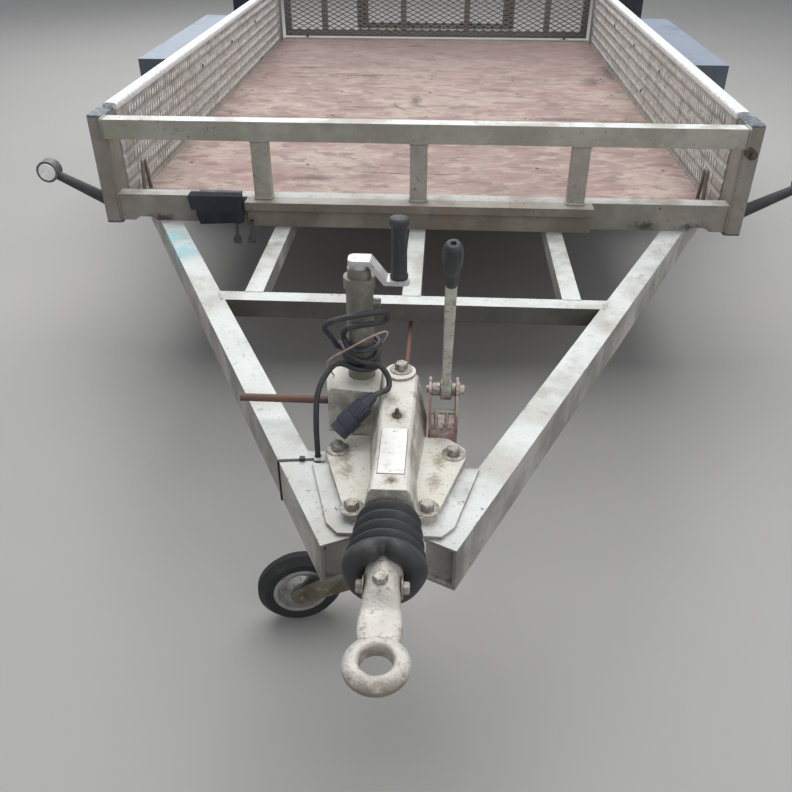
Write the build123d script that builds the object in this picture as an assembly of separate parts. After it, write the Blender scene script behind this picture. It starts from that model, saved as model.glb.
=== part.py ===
from build123d import *
from math import hypot, pi, radians, tan
import os

# Equipment trailer: one axle, a timber deck between two side walls, an overrun coupling on an
# A-shaped drawbar, a jockey wheel and a mesh loading ramp that stands upright at the back.
# Millimetres. The origin is on the ground under the middle of the trailer, +Z is up and the
# drawbar points to -Y. Left (+X) and right (-X) are the trailer's own, seen by a driver ahead.
# Every piece is drawn from the front rail's face (Y = 0) and the foot of the corner posts
# (Z = 0), and moved to the ground frame when it is written.

# Load bed
BED_LENGTH = 2440
BED_WIDTH = 1530
BED_HALF = BED_WIDTH / 2
POST_CLEARANCE = 440
WALL_GAP = 3
FLOOR_THICK = 18
SHEET_GAP = 3
SHEET_JOINTS = (950, 1580)

# Corner posts
POST_WIDTH = 42
POST_DEPTH = 85
POST_HEIGHT = 267
POST_WALL = 3
POST_ROUND = 8
CAP_THICK = 5
POST_IN = BED_HALF + WALL_GAP
POST_OUT = POST_IN + POST_WIDTH

# Side walls
WALL_THICK = 30
WALL_HEIGHT = 262
WALL_SKIN = 3
RIB_COUNT = 7
RIB_DEPTH = 2.5
RIB_SLOPE = 9
WALL_CAP_WIDTH = 35
WALL_CAP_HEIGHT = 24
WALL_CAP_LAP = 4
WALL_OUT = BED_HALF + WALL_THICK

# Front frame
BOTTOM_RAIL_HEIGHT = 68
FRAME_DEPTH = 40
FRAME_WALL = 4
TOP_RAIL_LOW = 222
TOP_RAIL_HEIGHT = 46
TOP_RAIL_PROUD = 20
UPRIGHT_WIDTH = 42
UPRIGHT_DEPTH = 30
UPRIGHT_PROUD = 18
UPRIGHT_SPACING = 388
CHANNEL_HALF = 431
CHANNEL_DEPTH = 44
CHANNEL_WEB = 20
CHANNEL_LIP = 20
NOTCH_RADIUS = 38
NOTCH_HEIGHT = 12
NOTCH_X = 703

# Drawbar and chassis
RAIL_TOP = 9
RAIL_DEPTH = 76
RAIL_WIDTH = 50
RAIL_WALL = 5
NOSE_REACH = 1163
NOSE_HALF = 93
NOSE_RECESS = 6
NOSE_CUT = 13
RAIL_HALF_AT_FRONT = 667
CROSS_FRONT = 438
CROSS_SIZE = 40
STRINGER_SIZE = 40
STRINGER_WALL = 3
STRINGER_SPACING = 341
BEARER_WIDTH = 50
BEARER_WALL = 3
BEARER_PLACES = (420, 800, 1620, 2020)
SILL_DEPTH = 60
REAR_SILL_DEPTH = 50
REAR_SILL_LIP = 12

# Axle and road wheels
AXLE_Y = 1450
TYRE_RADIUS = 290
TYRE_WIDTH = 176
WHEEL_GAP = 32
TRACK_HALF = WALL_OUT + WHEEL_GAP + TYRE_WIDTH / 2
RIM_SEAT = 165
RIM_FLANGE = 176
RIM_WALL = 4
RIM_HALF = 65
RIM_OFFSET = 20
TYRE_WALL = 12
BEAM_SIZE = 60
BEAM_AHEAD = 120
BEAM_HALF = 735
AXLE_PAD_THICK = 8
AXLE_PAD_LENGTH = 160
ARM_THICK = 25
STUB_RADIUS = 16
DRUM_RADIUS = 110
DRUM_WIDTH = 50
HUB_RADIUS = 58
RUN_GAP = 6

# Mudguards
GUARD_TOP = 210
GUARD_FRONT = 976
GUARD_REAR = 1927
GUARD_OUT = 1010
GUARD_SKIN = 3
GUARD_DROP = 250
GUARD_SKIRT = 45

# Coupling, placed from the nose of the drawbar
EYE_AHEAD = 207
EYE_REACH = NOSE_REACH + EYE_AHEAD
EYE_SHANK = 80
EYE_RADIUS = 42
EYE_BORE = 20
EYE_THICK = 24
EYE_CHAMFER = 4
EYE_NECK_HALF = 28
SOCKET_RADIUS = 23.5
SOCKET_REACH = EYE_REACH - EYE_SHANK
EYE_MID = 29
TUBE_RADIUS = 25
TUBE_MID = 40
GUSSET_THICK = 6
GUSSET_SETBACK = 21
GUSSET_LENGTH = 152
GUSSET_FRONT = NOSE_REACH - GUSSET_SETBACK
GUSSET_BACK = GUSSET_FRONT - GUSSET_LENGTH
FLANGE_THICK = 12
FLANGE_ROUND = 12
HOUSING_SETBACK = 25
HOUSING_LENGTH = 318
HOUSING_FRONT = NOSE_REACH - HOUSING_SETBACK
HOUSING_REAR = HOUSING_FRONT - HOUSING_LENGTH
HUMP_WAIST = HOUSING_FRONT - 188
HUMP_NOSE = HOUSING_FRONT - 98
HOUSING_TOP = 92
HOUSING_TOP_HALF = 25
HOUSING_BASE_HALF = 45
BELLOWS_LENGTH = 112
BELLOWS_RADIUS = 55
BELLOWS_SMALL = 44
BELLOWS_BAND = 28
BELLOWS_ROOM = 4
BELLOWS_RIBS = 4

# Jockey wheel
MAST_X = -62
MAST_SETBACK = 305
MAST_Y = MAST_SETBACK - NOSE_REACH
MAST_RADIUS = 21
MAST_WALL = 2.5
MAST_TOP = 270
MAST_LOW = -130
NECK_RADIUS = 18
NECK_HEIGHT = 14
COLLAR = 18
LUG_HEIGHT = 226
INNER_GAP = 0.7
INNER_WALL = 3
CLAMP_TOP = 98
CLAMP_OUT = 118
ROD_HEIGHT = 52
ROD_LENGTH = 144
ROD_RADIUS = 6.5
CLAMP_FIT = 0.3
JOCKEY_TRAIL = 129
JOCKEY_YAW = 15
JOCKEY_RADIUS = 80
JOCKEY_WIDTH = 40
JOCKEY_RIM = 52
FORK_GAP = 5.5
FORK_PLATE = 4
FORK_HUB = 20
FORK_HEAD = 50
JOCKEY_PIN = 6
CROWN_LOW = -300
CRANK_WIDTH = 30
CRANK_THICK = 7
CRANK_HUB = 8
CRANK_DROP = 31
GRIP_X = MAST_X + 60

# Handbrake
BRAKE_X = 74
BRAKE_PIVOT = (BRAKE_X, MAST_Y - 31, 92)
BRAKE_TIP = (BRAKE_X, MAST_Y - 162, 398)
GRIP_LENGTH = 110
BRAKE_CHEEK = 10
BRAKE_PIN = 6

# Ramp
RAMP_GAP = 10
RAMP_HALF = 757
RAMP_HEIGHT = 1250
RAMP_LOW = 38
RAMP_TUBE = 30
RAMP_BARS = (158, 555)
RAMP_BAR_WIDTH = 28
RAMP_WALL = 2.5
RAMP_RAILS = (360, 680, 980)
MESH_THICK = 3
MESH_PITCH_X = 124
MESH_PITCH_Z = 60
MESH_STRAND = 9
HINGE_Z = 15
HINGE_BACK = 23
HINGE_X = 650
HINGE_RADIUS = 14
HINGE_PIN = 8
PIN_FIT = 0.1
LUG_WIDTH = 10
LEG_X = 366
LEG_WIDTH = 56
LEG_THICK = 25
LEG_PIVOT_Z = RAMP_RAILS[0] + RAMP_TUBE / 2
LEG_FOOT_Z = 70
LEG_FOOT = 28
LEG_PIN = 6
MOVE_GAP = 5

# Cord
CORD_RADIUS = 4.5
COIL_IN = MAST_RADIUS + 1.5
COIL_OUT = 42
COIL_LOW = 112
COIL_HIGH = 166
WIRE_RADIUS = 1.5

# Places that follow from the sizes above
RAMP_FRONT = BED_LENGTH + RAMP_GAP + MESH_THICK
RAMP_BACK = RAMP_FRONT + RAMP_TUBE
LEG_FRONT = RAMP_BACK + MOVE_GAP
REAR_REACH = LEG_FRONT + LEG_THICK
FRONT_Y = (EYE_REACH + EYE_RADIUS - REAR_REACH) / 2
RAIL_BOTTOM = RAIL_TOP - RAIL_DEPTH
FLOOR_TOP = RAIL_TOP + FLOOR_THICK
RAIL_SLOPE = (RAIL_HALF_AT_FRONT - NOSE_HALF) / NOSE_REACH
RAIL_STRETCH = hypot(1, RAIL_SLOPE)
WHEEL_Z = TYRE_RADIUS - POST_CLEARANCE
JOCKEY_Z = JOCKEY_RADIUS - POST_CLEARANCE
BOTTOM_RAIL_TOP = RAIL_TOP + BOTTOM_RAIL_HEIGHT
HINGE_Y = RAMP_FRONT + HINGE_BACK
LEG_PIVOT_Y = LEG_FRONT + LEG_THICK / 2
# Where the drawbar rails meet the chassis rails, at their outer and inner faces
BEND = (BED_HALF - NOSE_HALF) / RAIL_SLOPE - NOSE_REACH
INNER_BEND = BEND + RAIL_WIDTH * (RAIL_STRETCH - 1) / RAIL_SLOPE

MIRROR = Plane.YZ
pieces = {}


def block(x, y, z):
    """A box between low and high values on each axis."""
    middle = ((x[0] + x[1]) / 2, (y[0] + y[1]) / 2, (z[0] + z[1]) / 2)
    return Pos(*middle) * Box(x[1] - x[0], y[1] - y[0], z[1] - z[0])


def slab(outline, z_low, z_high):
    """An outline in X and Y, raised between two heights."""
    return Pos(0, 0, z_low) * extrude(make_face(Polyline(*outline, close=True)), z_high - z_low)


def along_x(face, x_low, x_high):
    """A face drawn in Y and Z, drawn out along X."""
    return extrude(Plane.YZ.offset(x_low) * face, x_high - x_low)


def along_y(face, y_low, y_high):
    """A face drawn in X and Z, drawn out along Y."""
    return extrude(Plane.XZ.offset(-y_low) * face, y_low - y_high)


def polygon(points):
    """A closed flat face from its corners."""
    return make_face(Polyline(*points, close=True))


def bar(start, end, radius, bore=0):
    """A round bar or tube from one point to another."""
    line = Vector(*end) - Vector(*start)
    face = Circle(radius) - Circle(bore) if bore else Circle(radius)
    return extrude(Plane(origin=start, z_dir=line) * face, line.length)


def turned(profile, origin, axis):
    """A profile of (radius, distance) corners, turned about an axis through origin."""
    face = polygon([(radius, distance) for radius, distance in profile])
    side = Plane(origin=origin, x_dir=across(axis), z_dir=across(axis).cross(Vector(*axis)))
    return revolve(side * face, Axis(origin, axis))


def across(axis):
    """A direction square to an axis."""
    line = Vector(*axis).normalized()
    guide = Vector(0, 0, 1) if abs(line.Z) < 0.9 else Vector(1, 0, 0)
    return (guide - line * guide.dot(line)).normalized()


def both(solid):
    """A left solid and its mirror image as one node."""
    return together([solid, solid.mirror(MIRROR)])


def together(parts):
    """Separate solids kept in one node."""
    return Compound([solid for part in parts for solid in part.solids()])


def rail_x(y, inset=0):
    """X of a line in the left drawbar rail at Y, set in from its outer face."""
    return NOSE_HALF + (y + NOSE_REACH) * RAIL_SLOPE - inset * RAIL_STRETCH


# Chassis

def drawbar_rail():
    """Left rail of the A, a channel open to the inside, cut square in front and mitred behind."""
    slant = RAIL_WIDTH / RAIL_STRETCH
    outline = [
        (rail_x(-NOSE_REACH), -NOSE_REACH),
        (BED_HALF, BEND),
        (BED_HALF - RAIL_WIDTH, INNER_BEND),
        (NOSE_HALF - slant, -NOSE_REACH + slant * RAIL_SLOPE),
    ]
    ends = (-NOSE_REACH - RAIL_WIDTH, INNER_BEND + RAIL_WIDTH)
    hollow = [(rail_x(y, RAIL_WALL), y) for y in ends]
    hollow += [(rail_x(y, 2 * RAIL_WIDTH), y) for y in reversed(ends)]
    body = slab(outline, RAIL_BOTTOM, RAIL_TOP)
    return body - slab(hollow, RAIL_BOTTOM + RAIL_WALL, RAIL_TOP - RAIL_WALL)


def nose_plate():
    """Plate let into the square end of the left drawbar rail, its outer corners cut off."""
    back = Vector(RAIL_SLOPE, 1, 0).normalized()
    front = Plane(origin=(NOSE_HALF, -NOSE_REACH, 0), x_dir=(-back.Y, back.X, 0), z_dir=back)
    low, high, edge = RAIL_BOTTOM + RAIL_WALL, RAIL_TOP - RAIL_WALL, RAIL_WALL
    face = polygon([
        (edge, low + NOSE_CUT), (edge + NOSE_CUT, low), (RAIL_WIDTH, low), (RAIL_WIDTH, high),
        (edge + NOSE_CUT, high), (edge, high - NOSE_CUT),
    ])
    return extrude(front.offset(NOSE_RECESS) * face, RAIL_WALL) - bellows_room()


def bellows_room():
    """Round space for the bellows from the eye to the casting."""
    return bar((0, -EYE_REACH, TUBE_MID), (0, -HOUSING_FRONT, TUBE_MID),
               BELLOWS_SMALL + BELLOWS_ROOM)


def gusset():
    """Plate across the nose that carries the coupling, hollowed for the bellows."""
    back, front = -GUSSET_BACK, -GUSSET_FRONT
    half = [(rail_x(back, 45), back), (rail_x(front, 12), front + 20), (rail_x(front, 28), front)]
    outline = half + [(-x, y) for x, y in reversed(half)]
    return slab(outline, RAIL_TOP, RAIL_TOP + GUSSET_THICK) - bellows_room()


CLIP_Y = MAST_Y - 100
CLIP_X = -(rail_x(CLIP_Y, RAIL_WIDTH) - 14)


def cord_clip():
    """Small plate under the right rail's top flange, with the hole that the cord comes out of."""
    high = RAIL_TOP - RAIL_WALL
    edge = -rail_x(CLIP_Y, RAIL_WIDTH)
    plate = block((edge - 24, edge + 26), (CLIP_Y - 12, CLIP_Y + 12), (high - 3, high))
    return plate - bar((CLIP_X, CLIP_Y, high - 10), (CLIP_X, CLIP_Y, high + 10), CORD_RADIUS + 1)


def drawbar_crossmember():
    """Square tube between the drawbar rails, its ends cut to their slope."""
    low, high = -CROSS_FRONT, -CROSS_FRONT + CROSS_SIZE
    half = [(rail_x(low, RAIL_WIDTH), low), (rail_x(high, RAIL_WIDTH), high)]
    outline = half + [(-x, y) for x, y in reversed(half)]
    inside = (low + STRINGER_WALL, high - STRINGER_WALL)
    bottom = RAIL_TOP - CROSS_SIZE
    bore = block((-BED_HALF, BED_HALF), inside, (bottom + STRINGER_WALL, RAIL_TOP - STRINGER_WALL))
    return slab(outline, bottom, RAIL_TOP) - bore


def chassis_rail():
    """Left chassis rail, a channel open to the inside, from the drawbar to the rear sill."""
    back = BED_LENGTH - REAR_SILL_DEPTH
    inner = BED_HALF - RAIL_WIDTH
    outline = [(BED_HALF, BEND), (BED_HALF, back), (inner, back), (inner, INNER_BEND)]
    hollow = block((inner - 1, BED_HALF - RAIL_WALL), (BEND - RAIL_WIDTH, back + 1),
                   (RAIL_BOTTOM + RAIL_WALL, RAIL_TOP - RAIL_WALL))
    return slab(outline, RAIL_BOTTOM, RAIL_TOP) - hollow


def square_tube(x, y, z, wall, run):
    """A box section open at both ends, its hollow along Y or X."""
    inner = [(x[0] + wall, x[1] - wall), (y[0] + wall, y[1] - wall), (z[0] + wall, z[1] - wall)]
    axis = {"x": 0, "y": 1, "z": 2}[run]
    inner[axis] = (inner[axis][0] - 2 * wall, inner[axis][1] + 2 * wall)
    return block(x, y, z) - block(*inner)


def stringers():
    """Three square tubes under the deck, from the drawbar crossmember to the rear sill."""
    ends = (-CROSS_FRONT + CROSS_SIZE, BED_LENGTH - REAR_SILL_DEPTH)
    tubes = []
    for place in (-1, 0, 1):
        middle = place * STRINGER_SPACING
        sides = (middle - STRINGER_SIZE / 2, middle + STRINGER_SIZE / 2)
        tubes.append(square_tube(sides, ends, (RAIL_TOP - STRINGER_SIZE, RAIL_TOP), STRINGER_WALL, "y"))
    return together(tubes)


def bearers():
    """Flat tubes across the chassis rails that carry the stringers."""
    reach = BED_HALF - RAIL_WALL
    heights = (RAIL_BOTTOM + RAIL_WALL, RAIL_TOP - STRINGER_SIZE)
    tubes = []
    for place in BEARER_PLACES:
        run = (place - BEARER_WIDTH / 2, place + BEARER_WIDTH / 2)
        tubes.append(square_tube((-reach, reach), run, heights, BEARER_WALL, "x"))
    return together(tubes)


def side_sill():
    """Left sill, a tube outside the chassis rail that the side wall stands on."""
    return square_tube((BED_HALF, WALL_OUT), (BEND, BED_LENGTH), (-SILL_DEPTH, 0), STRINGER_WALL, "y")


def rear_sill():
    """Folded sill across the back, with a ledge under the deck and a lip behind it."""
    back = BED_LENGTH
    web = back - RAIL_WALL
    front = back - REAR_SILL_DEPTH
    top = FLOOR_TOP + 6
    face = polygon([
        (front, RAIL_BOTTOM), (back, RAIL_BOTTOM), (back, top), (back - REAR_SILL_LIP, top),
        (back - REAR_SILL_LIP, RAIL_TOP), (front, RAIL_TOP), (front, RAIL_TOP - RAIL_WALL),
        (web, RAIL_TOP - RAIL_WALL), (web, RAIL_BOTTOM + RAIL_WALL), (front, RAIL_BOTTOM + RAIL_WALL),
    ])
    return along_x(face, -BED_HALF, BED_HALF)


pieces["drawbar_rails"] = both(drawbar_rail())
pieces["drawbar_plates"] = together([nose_plate(), nose_plate().mirror(MIRROR), gusset(), cord_clip()])
pieces["drawbar_crossmember"] = drawbar_crossmember()
pieces["chassis_rails"] = both(chassis_rail())
pieces["deck_stringers"] = stringers()
pieces["cross_bearers"] = bearers()
pieces["side_sills"] = both(side_sill())
pieces["rear_sill"] = rear_sill()


# Load bed

def floor_sheets():
    """Three plywood sheets with a narrow gap at each joint."""
    ends = [FRAME_DEPTH + SHEET_GAP, *SHEET_JOINTS, BED_LENGTH - REAR_SILL_LIP]
    half = BED_HALF - 2
    sheets = []
    for start, stop in zip(ends, ends[1:]):
        run = (start + SHEET_GAP / 2, stop - SHEET_GAP / 2)
        sheets.append(block((-half, half), run, (RAIL_TOP, FLOOR_TOP)))
    return together(sheets)


def side_wall():
    """Left wall, a hollow plank with shallow ribs on its inner face and a rounded cap on top."""
    pitch = WALL_HEIGHT / RIB_COUNT
    groove = BED_HALF + RIB_DEPTH
    inner = [(BED_HALF, 0)]
    for rib in range(1, RIB_COUNT):
        z = rib * pitch
        inner += [(BED_HALF, z - RIB_SLOPE), (groove, z - 2), (groove, z + 2), (BED_HALF, z + RIB_SLOPE)]
    inner += [(BED_HALF, WALL_HEIGHT)]
    face = polygon(inner + [(WALL_OUT, WALL_HEIGHT), (WALL_OUT, 0)])
    low = groove + WALL_SKIN
    hollow = polygon([
        (low, WALL_SKIN), (WALL_OUT - WALL_SKIN, WALL_SKIN),
        (WALL_OUT - WALL_SKIN, WALL_HEIGHT - WALL_SKIN), (low, WALL_HEIGHT - WALL_SKIN),
    ])
    cap = Pos((BED_HALF + WALL_OUT) / 2, WALL_HEIGHT + WALL_CAP_HEIGHT / 2 - WALL_CAP_LAP)
    cap *= RectangleRounded(WALL_CAP_WIDTH, WALL_CAP_HEIGHT, 9)
    return along_y(face - hollow + cap, POST_DEPTH, BED_LENGTH - POST_DEPTH)


def post_outline(front, inset=0):
    """Rounded outline of a left post in X and Y, set in by a distance."""
    middle = Pos((POST_IN + POST_OUT) / 2, front + POST_DEPTH / 2)
    return middle * RectangleRounded(POST_WIDTH - 2 * inset, POST_DEPTH - 2 * inset, POST_ROUND - inset)


def corner_post(front):
    """Left post, a rounded box section on end, its foot and head open for the plastic caps."""
    section = post_outline(front) - post_outline(front, POST_WALL)
    return Pos(0, 0, CAP_THICK) * extrude(section, POST_HEIGHT - CAP_THICK)


def post_caps(front):
    """Plastic cap and foot of a left post."""
    foot = extrude(post_outline(front), CAP_THICK)
    head = Pos(0, 0, POST_HEIGHT) * extrude(post_outline(front), CAP_THICK)
    return [chamfer(head.faces().sort_by(Axis.Z)[-1].edges(), 2), foot]


def front_channel():
    """Folded step along the front rail: a lipped top flange, a web set back and a foot."""
    low, high, wall = RAIL_TOP, BOTTOM_RAIL_TOP, FRAME_WALL
    web, front = -CHANNEL_WEB, -CHANNEL_DEPTH
    section = polygon([
        (0, low), (0, low + wall), (web, low + wall), (web, high - wall), (0, high - wall), (0, high),
        (front, high), (front, high - CHANNEL_LIP), (front + wall, high - CHANNEL_LIP),
        (front + wall, high - wall), (web - wall, high - wall), (web - wall, low),
    ])
    return along_x(section, -CHANNEL_HALF, CHANNEL_HALF)


def front_bottom_rail():
    """Folded channel between the front posts, with a rounded notch in its foot at each end."""
    low, high, wall = RAIL_TOP, BOTTOM_RAIL_TOP, FRAME_WALL
    section = polygon([
        (0, low), (FRAME_DEPTH, low), (FRAME_DEPTH, low + wall), (wall, low + wall),
        (wall, high - wall), (FRAME_DEPTH, high - wall), (FRAME_DEPTH, high), (0, high),
    ])
    rail = along_x(section, -POST_IN, POST_IN)
    centre = RAIL_TOP + NOTCH_HEIGHT - NOTCH_RADIUS
    for side in (-1, 1):
        x = side * NOTCH_X
        rail -= bar((x, -1, centre), (x, FRAME_DEPTH + 1, centre), NOTCH_RADIUS)
    return rail


def front_uprights():
    """Three upright tubes between the front rails, their faces near the top rail's."""
    run = (-UPRIGHT_PROUD, UPRIGHT_DEPTH - UPRIGHT_PROUD)
    tubes = []
    for place in (-1, 0, 1):
        middle = place * UPRIGHT_SPACING
        sides = (middle - UPRIGHT_WIDTH / 2, middle + UPRIGHT_WIDTH / 2)
        heights = (BOTTOM_RAIL_TOP, TOP_RAIL_LOW)
        tubes.append(square_tube(sides, run, heights, STRINGER_WALL, "z"))
    return together(tubes)


RING_X = BED_HALF - 32
RING_Y = FRAME_DEPTH + 85
RING_SEAT = 8
RING_BAR = 5
RING_FOOT = 54
RING_TALL = 132
RING_ROUND = 10


def lashing_points():
    """Tall ring and its saddle on the deck in each front corner."""
    low = FLOOR_TOP + RING_SEAT
    half = RING_FOOT / 2
    plane = Plane(origin=(RING_X, RING_Y, low), x_dir=(0, 1, 0), z_dir=(1, 0, 0))
    outline = polygon([(-half, 0), (half, 0), (0, RING_TALL)])
    loop = (plane * fillet(outline.vertices(), RING_ROUND)).wire()
    start = Plane(origin=loop @ 0, z_dir=loop % 0)
    ring = sweep(start * Circle(RING_BAR), path=loop)
    bore = RING_BAR + CLAMP_FIT
    saddle = block((RING_X - 16, RING_X + 16), (RING_Y - 12, RING_Y + 12), (FLOOR_TOP, low + bore + 4))
    saddle -= block((RING_X - bore, RING_X + bore), (RING_Y - 13, RING_Y + 13), (low - bore, low + bore))
    return together([ring, ring.mirror(MIRROR), saddle, saddle.mirror(MIRROR)])


BOX_OUT = -560
BOX_IN = -436
BOX_DEPTH = 50
BOX_FLAP = 16


def moulded_box():
    """Black moulded box on the right of the front rail: a body under a larger rounded flap."""
    body = polygon([(BOX_OUT, 40), (BOX_OUT + 8, 92), (BOX_IN - 8, 92), (BOX_IN - 12, 20), (BOX_OUT + 8, 14)])
    body = along_y(body, -BOX_DEPTH + BOX_FLAP, 0)
    flap = polygon([
        (BOX_OUT - 6, 58), (BOX_OUT - 12, 92), (BOX_OUT - 4, 102), (BOX_IN - 8, 102), (BOX_IN, 94),
        (BOX_IN - 2, 26), (BOX_IN - 20, 22), (BOX_IN - 46, 50),
    ])
    flap = along_y(flap, -BOX_DEPTH, -BOX_DEPTH + BOX_FLAP)
    brow = flap.faces().sort_by(Axis.Y)[0].edges().sort_by(Axis.Z)[-1]
    return chamfer(brow, BOX_FLAP / 2) + body


pieces["floor_sheets"] = floor_sheets()
pieces["side_wall_left"] = side_wall()
pieces["side_wall_right"] = side_wall().mirror(MIRROR)
pieces["front_posts"] = both(corner_post(0))
pieces["rear_posts"] = both(corner_post(BED_LENGTH - POST_DEPTH))
caps = post_caps(0) + post_caps(BED_LENGTH - POST_DEPTH)
pieces["post_caps"] = together(caps + [cap.mirror(MIRROR) for cap in caps])
pieces["front_bottom_rail"] = front_bottom_rail()
pieces["front_uprights"] = front_uprights()
pieces["front_top_rail"] = square_tube(
    (-POST_IN, POST_IN), (-TOP_RAIL_PROUD, FRAME_DEPTH - TOP_RAIL_PROUD),
    (TOP_RAIL_LOW, TOP_RAIL_LOW + TOP_RAIL_HEIGHT), STRINGER_WALL, "x")
pieces["front_channel"] = front_channel()
pieces["lashing_points"] = lashing_points()
pieces["moulded_box"] = moulded_box()


# Marker lamps on rubber arms

LAMP_X = 942
LAMP_Y = 6
LAMP_Z = 128
LAMP_RADIUS = 27
LAMP_DEPTH = 32
LENS_GAP = 0.5
BEZEL = 5
BEZEL_DEPTH = 6
ARM_FOOT = (POST_OUT, 30, 52)
ARM_FOOT_RADIUS = 17
ARM_TIP_RADIUS = 11


def marker_housing():
    """Round black body of the left marker lamp, recessed for its lens."""
    body = bar((LAMP_X, LAMP_Y, LAMP_Z), (LAMP_X, LAMP_Y + LAMP_DEPTH, LAMP_Z), LAMP_RADIUS)
    return body - bar((LAMP_X, LAMP_Y, LAMP_Z), (LAMP_X, LAMP_Y + BEZEL_DEPTH, LAMP_Z), LAMP_RADIUS - BEZEL)


def marker_lens():
    """Lens that stands a little proud of its bezel."""
    proud = BEZEL_DEPTH / 2
    return bar((LAMP_X, LAMP_Y - proud, LAMP_Z), (LAMP_X, LAMP_Y + BEZEL_DEPTH, LAMP_Z),
               LAMP_RADIUS - BEZEL - LENS_GAP)


def marker_arm():
    """Tapered rubber arm from the post to the lamp, moulded round its body."""
    foot = Plane(origin=ARM_FOOT, z_dir=(1, 0, 0)) * Circle(ARM_FOOT_RADIUS)
    place = (LAMP_X - LAMP_RADIUS / 2, LAMP_Y + LAMP_DEPTH / 2, LAMP_Z - LAMP_RADIUS / 3)
    tip = Plane(origin=place, z_dir=(1, 0, 0.5)) * Circle(ARM_TIP_RADIUS)
    arm = loft([foot.face(), tip.face()])
    return arm - bar((LAMP_X, LAMP_Y, LAMP_Z), (LAMP_X, LAMP_Y + LAMP_DEPTH, LAMP_Z), LAMP_RADIUS)


pieces["marker_arms"] = both(marker_arm())
pieces["marker_housings"] = both(marker_housing())
pieces["marker_lenses"] = both(marker_lens())


# Axle, wheels and mudguards

BEAM_Y = AXLE_Y - BEAM_AHEAD
BEAM_TOP = RAIL_BOTTOM - AXLE_PAD_THICK
BEAM_Z = BEAM_TOP - BEAM_SIZE / 2
ARM_IN = WALL_OUT - 18
ARM_OUT = ARM_IN + ARM_THICK
PLATE_OUT = ARM_OUT + 6
DRUM_IN = PLATE_OUT + RUN_GAP
DRUM_OUT = DRUM_IN + DRUM_WIDTH
HUB_FACE = TRACK_HALF + RIM_OFFSET


def axle_beam():
    """Square beam with a pad under each chassis rail."""
    beam = block((-BEAM_HALF, BEAM_HALF), (BEAM_Y - BEAM_SIZE / 2, BEAM_Y + BEAM_SIZE / 2),
                 (BEAM_TOP - BEAM_SIZE, BEAM_TOP))
    for side in (-1, 1):
        ends = sorted((side * (BED_HALF - 5), side * (BED_HALF - RAIL_WIDTH - 15)))
        run = (BEAM_Y - AXLE_PAD_LENGTH / 2, BEAM_Y + AXLE_PAD_LENGTH / 2)
        beam += block(ends, run, (BEAM_TOP, RAIL_BOTTOM))
    return beam


def axle_arm():
    """Left trailing arm with its spindle, brake plate and stub axle."""
    pivot = (BEAM_Y, BEAM_Z)
    hub = (AXLE_Y, WHEEL_Z)
    eyes = [Pos(*pivot) * Circle(34), Pos(*hub) * Circle(30)]
    face = make_hull(eyes[0].edges() + eyes[1].edges())
    arm = along_x(face, ARM_IN, ARM_OUT)
    arm += bar((BEAM_HALF, *pivot), (ARM_IN, *pivot), 22)
    arm += bar((ARM_OUT, *hub), (PLATE_OUT, *hub), DRUM_RADIUS)
    return arm + bar((PLATE_OUT, *hub), (HUB_FACE, *hub), STUB_RADIUS)


def hub_drum():
    """Left brake drum and hub, closed by its grease cap."""
    bore = STUB_RADIUS + PIN_FIT
    end = HUB_FACE + MOVE_GAP
    profile = [
        (bore, DRUM_OUT - 12), (DRUM_RADIUS - 8, DRUM_OUT - 12), (DRUM_RADIUS - 8, DRUM_IN),
        (DRUM_RADIUS, DRUM_IN), (DRUM_RADIUS, DRUM_OUT), (HUB_RADIUS, DRUM_OUT + 8),
        (HUB_RADIUS, HUB_FACE), (32, HUB_FACE), (30, end + 24), (24, end + 30), (0, end + 30),
        (0, end), (bore, end),
    ]
    return turned(profile, (0, AXLE_Y, WHEEL_Z), (1, 0, 0))


def rim():
    """Left pressed rim: a barrel with two flanges, and a dished disc with round holes."""
    well = RIM_SEAT - 15
    half_barrel = [
        (RIM_FLANGE, RIM_HALF), (RIM_FLANGE, RIM_HALF - RIM_WALL), (RIM_SEAT, RIM_HALF - 6),
        (RIM_SEAT, 40), (well, 30),
    ]
    half_bore = [(r - RIM_WALL, x - RIM_WALL / 2) for r, x in half_barrel[2:]]
    half_bore = [(RIM_FLANGE - RIM_WALL, RIM_HALF)] + half_bore
    outer = half_barrel + [(r, -x) for r, x in reversed(half_barrel)]
    inner = half_bore + [(r, -x) for r, x in reversed(half_bore)]
    centre = (TRACK_HALF, AXLE_Y, WHEEL_Z)
    barrel = turned(outer + list(reversed(inner)), centre, (1, 0, 0))
    face = RIM_OFFSET
    edge = well - RIM_WALL / 2
    disc = turned([
        (32.5, face), (70, face), (84, face + 12), (120, face + 14), (edge, face - 6),
        (edge, face), (122, face + 20), (80, face + 18), (67, face + 6), (32.5, face + 6),
    ], centre, (1, 0, 0))
    solid = barrel + disc
    for hole in PolarLocations(103, 8):
        spot = (HUB_FACE, AXLE_Y + hole.position.X, WHEEL_Z + hole.position.Y)
        solid -= bar(spot, (spot[0] + 40, spot[1], spot[2]), 12)
    return solid


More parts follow.
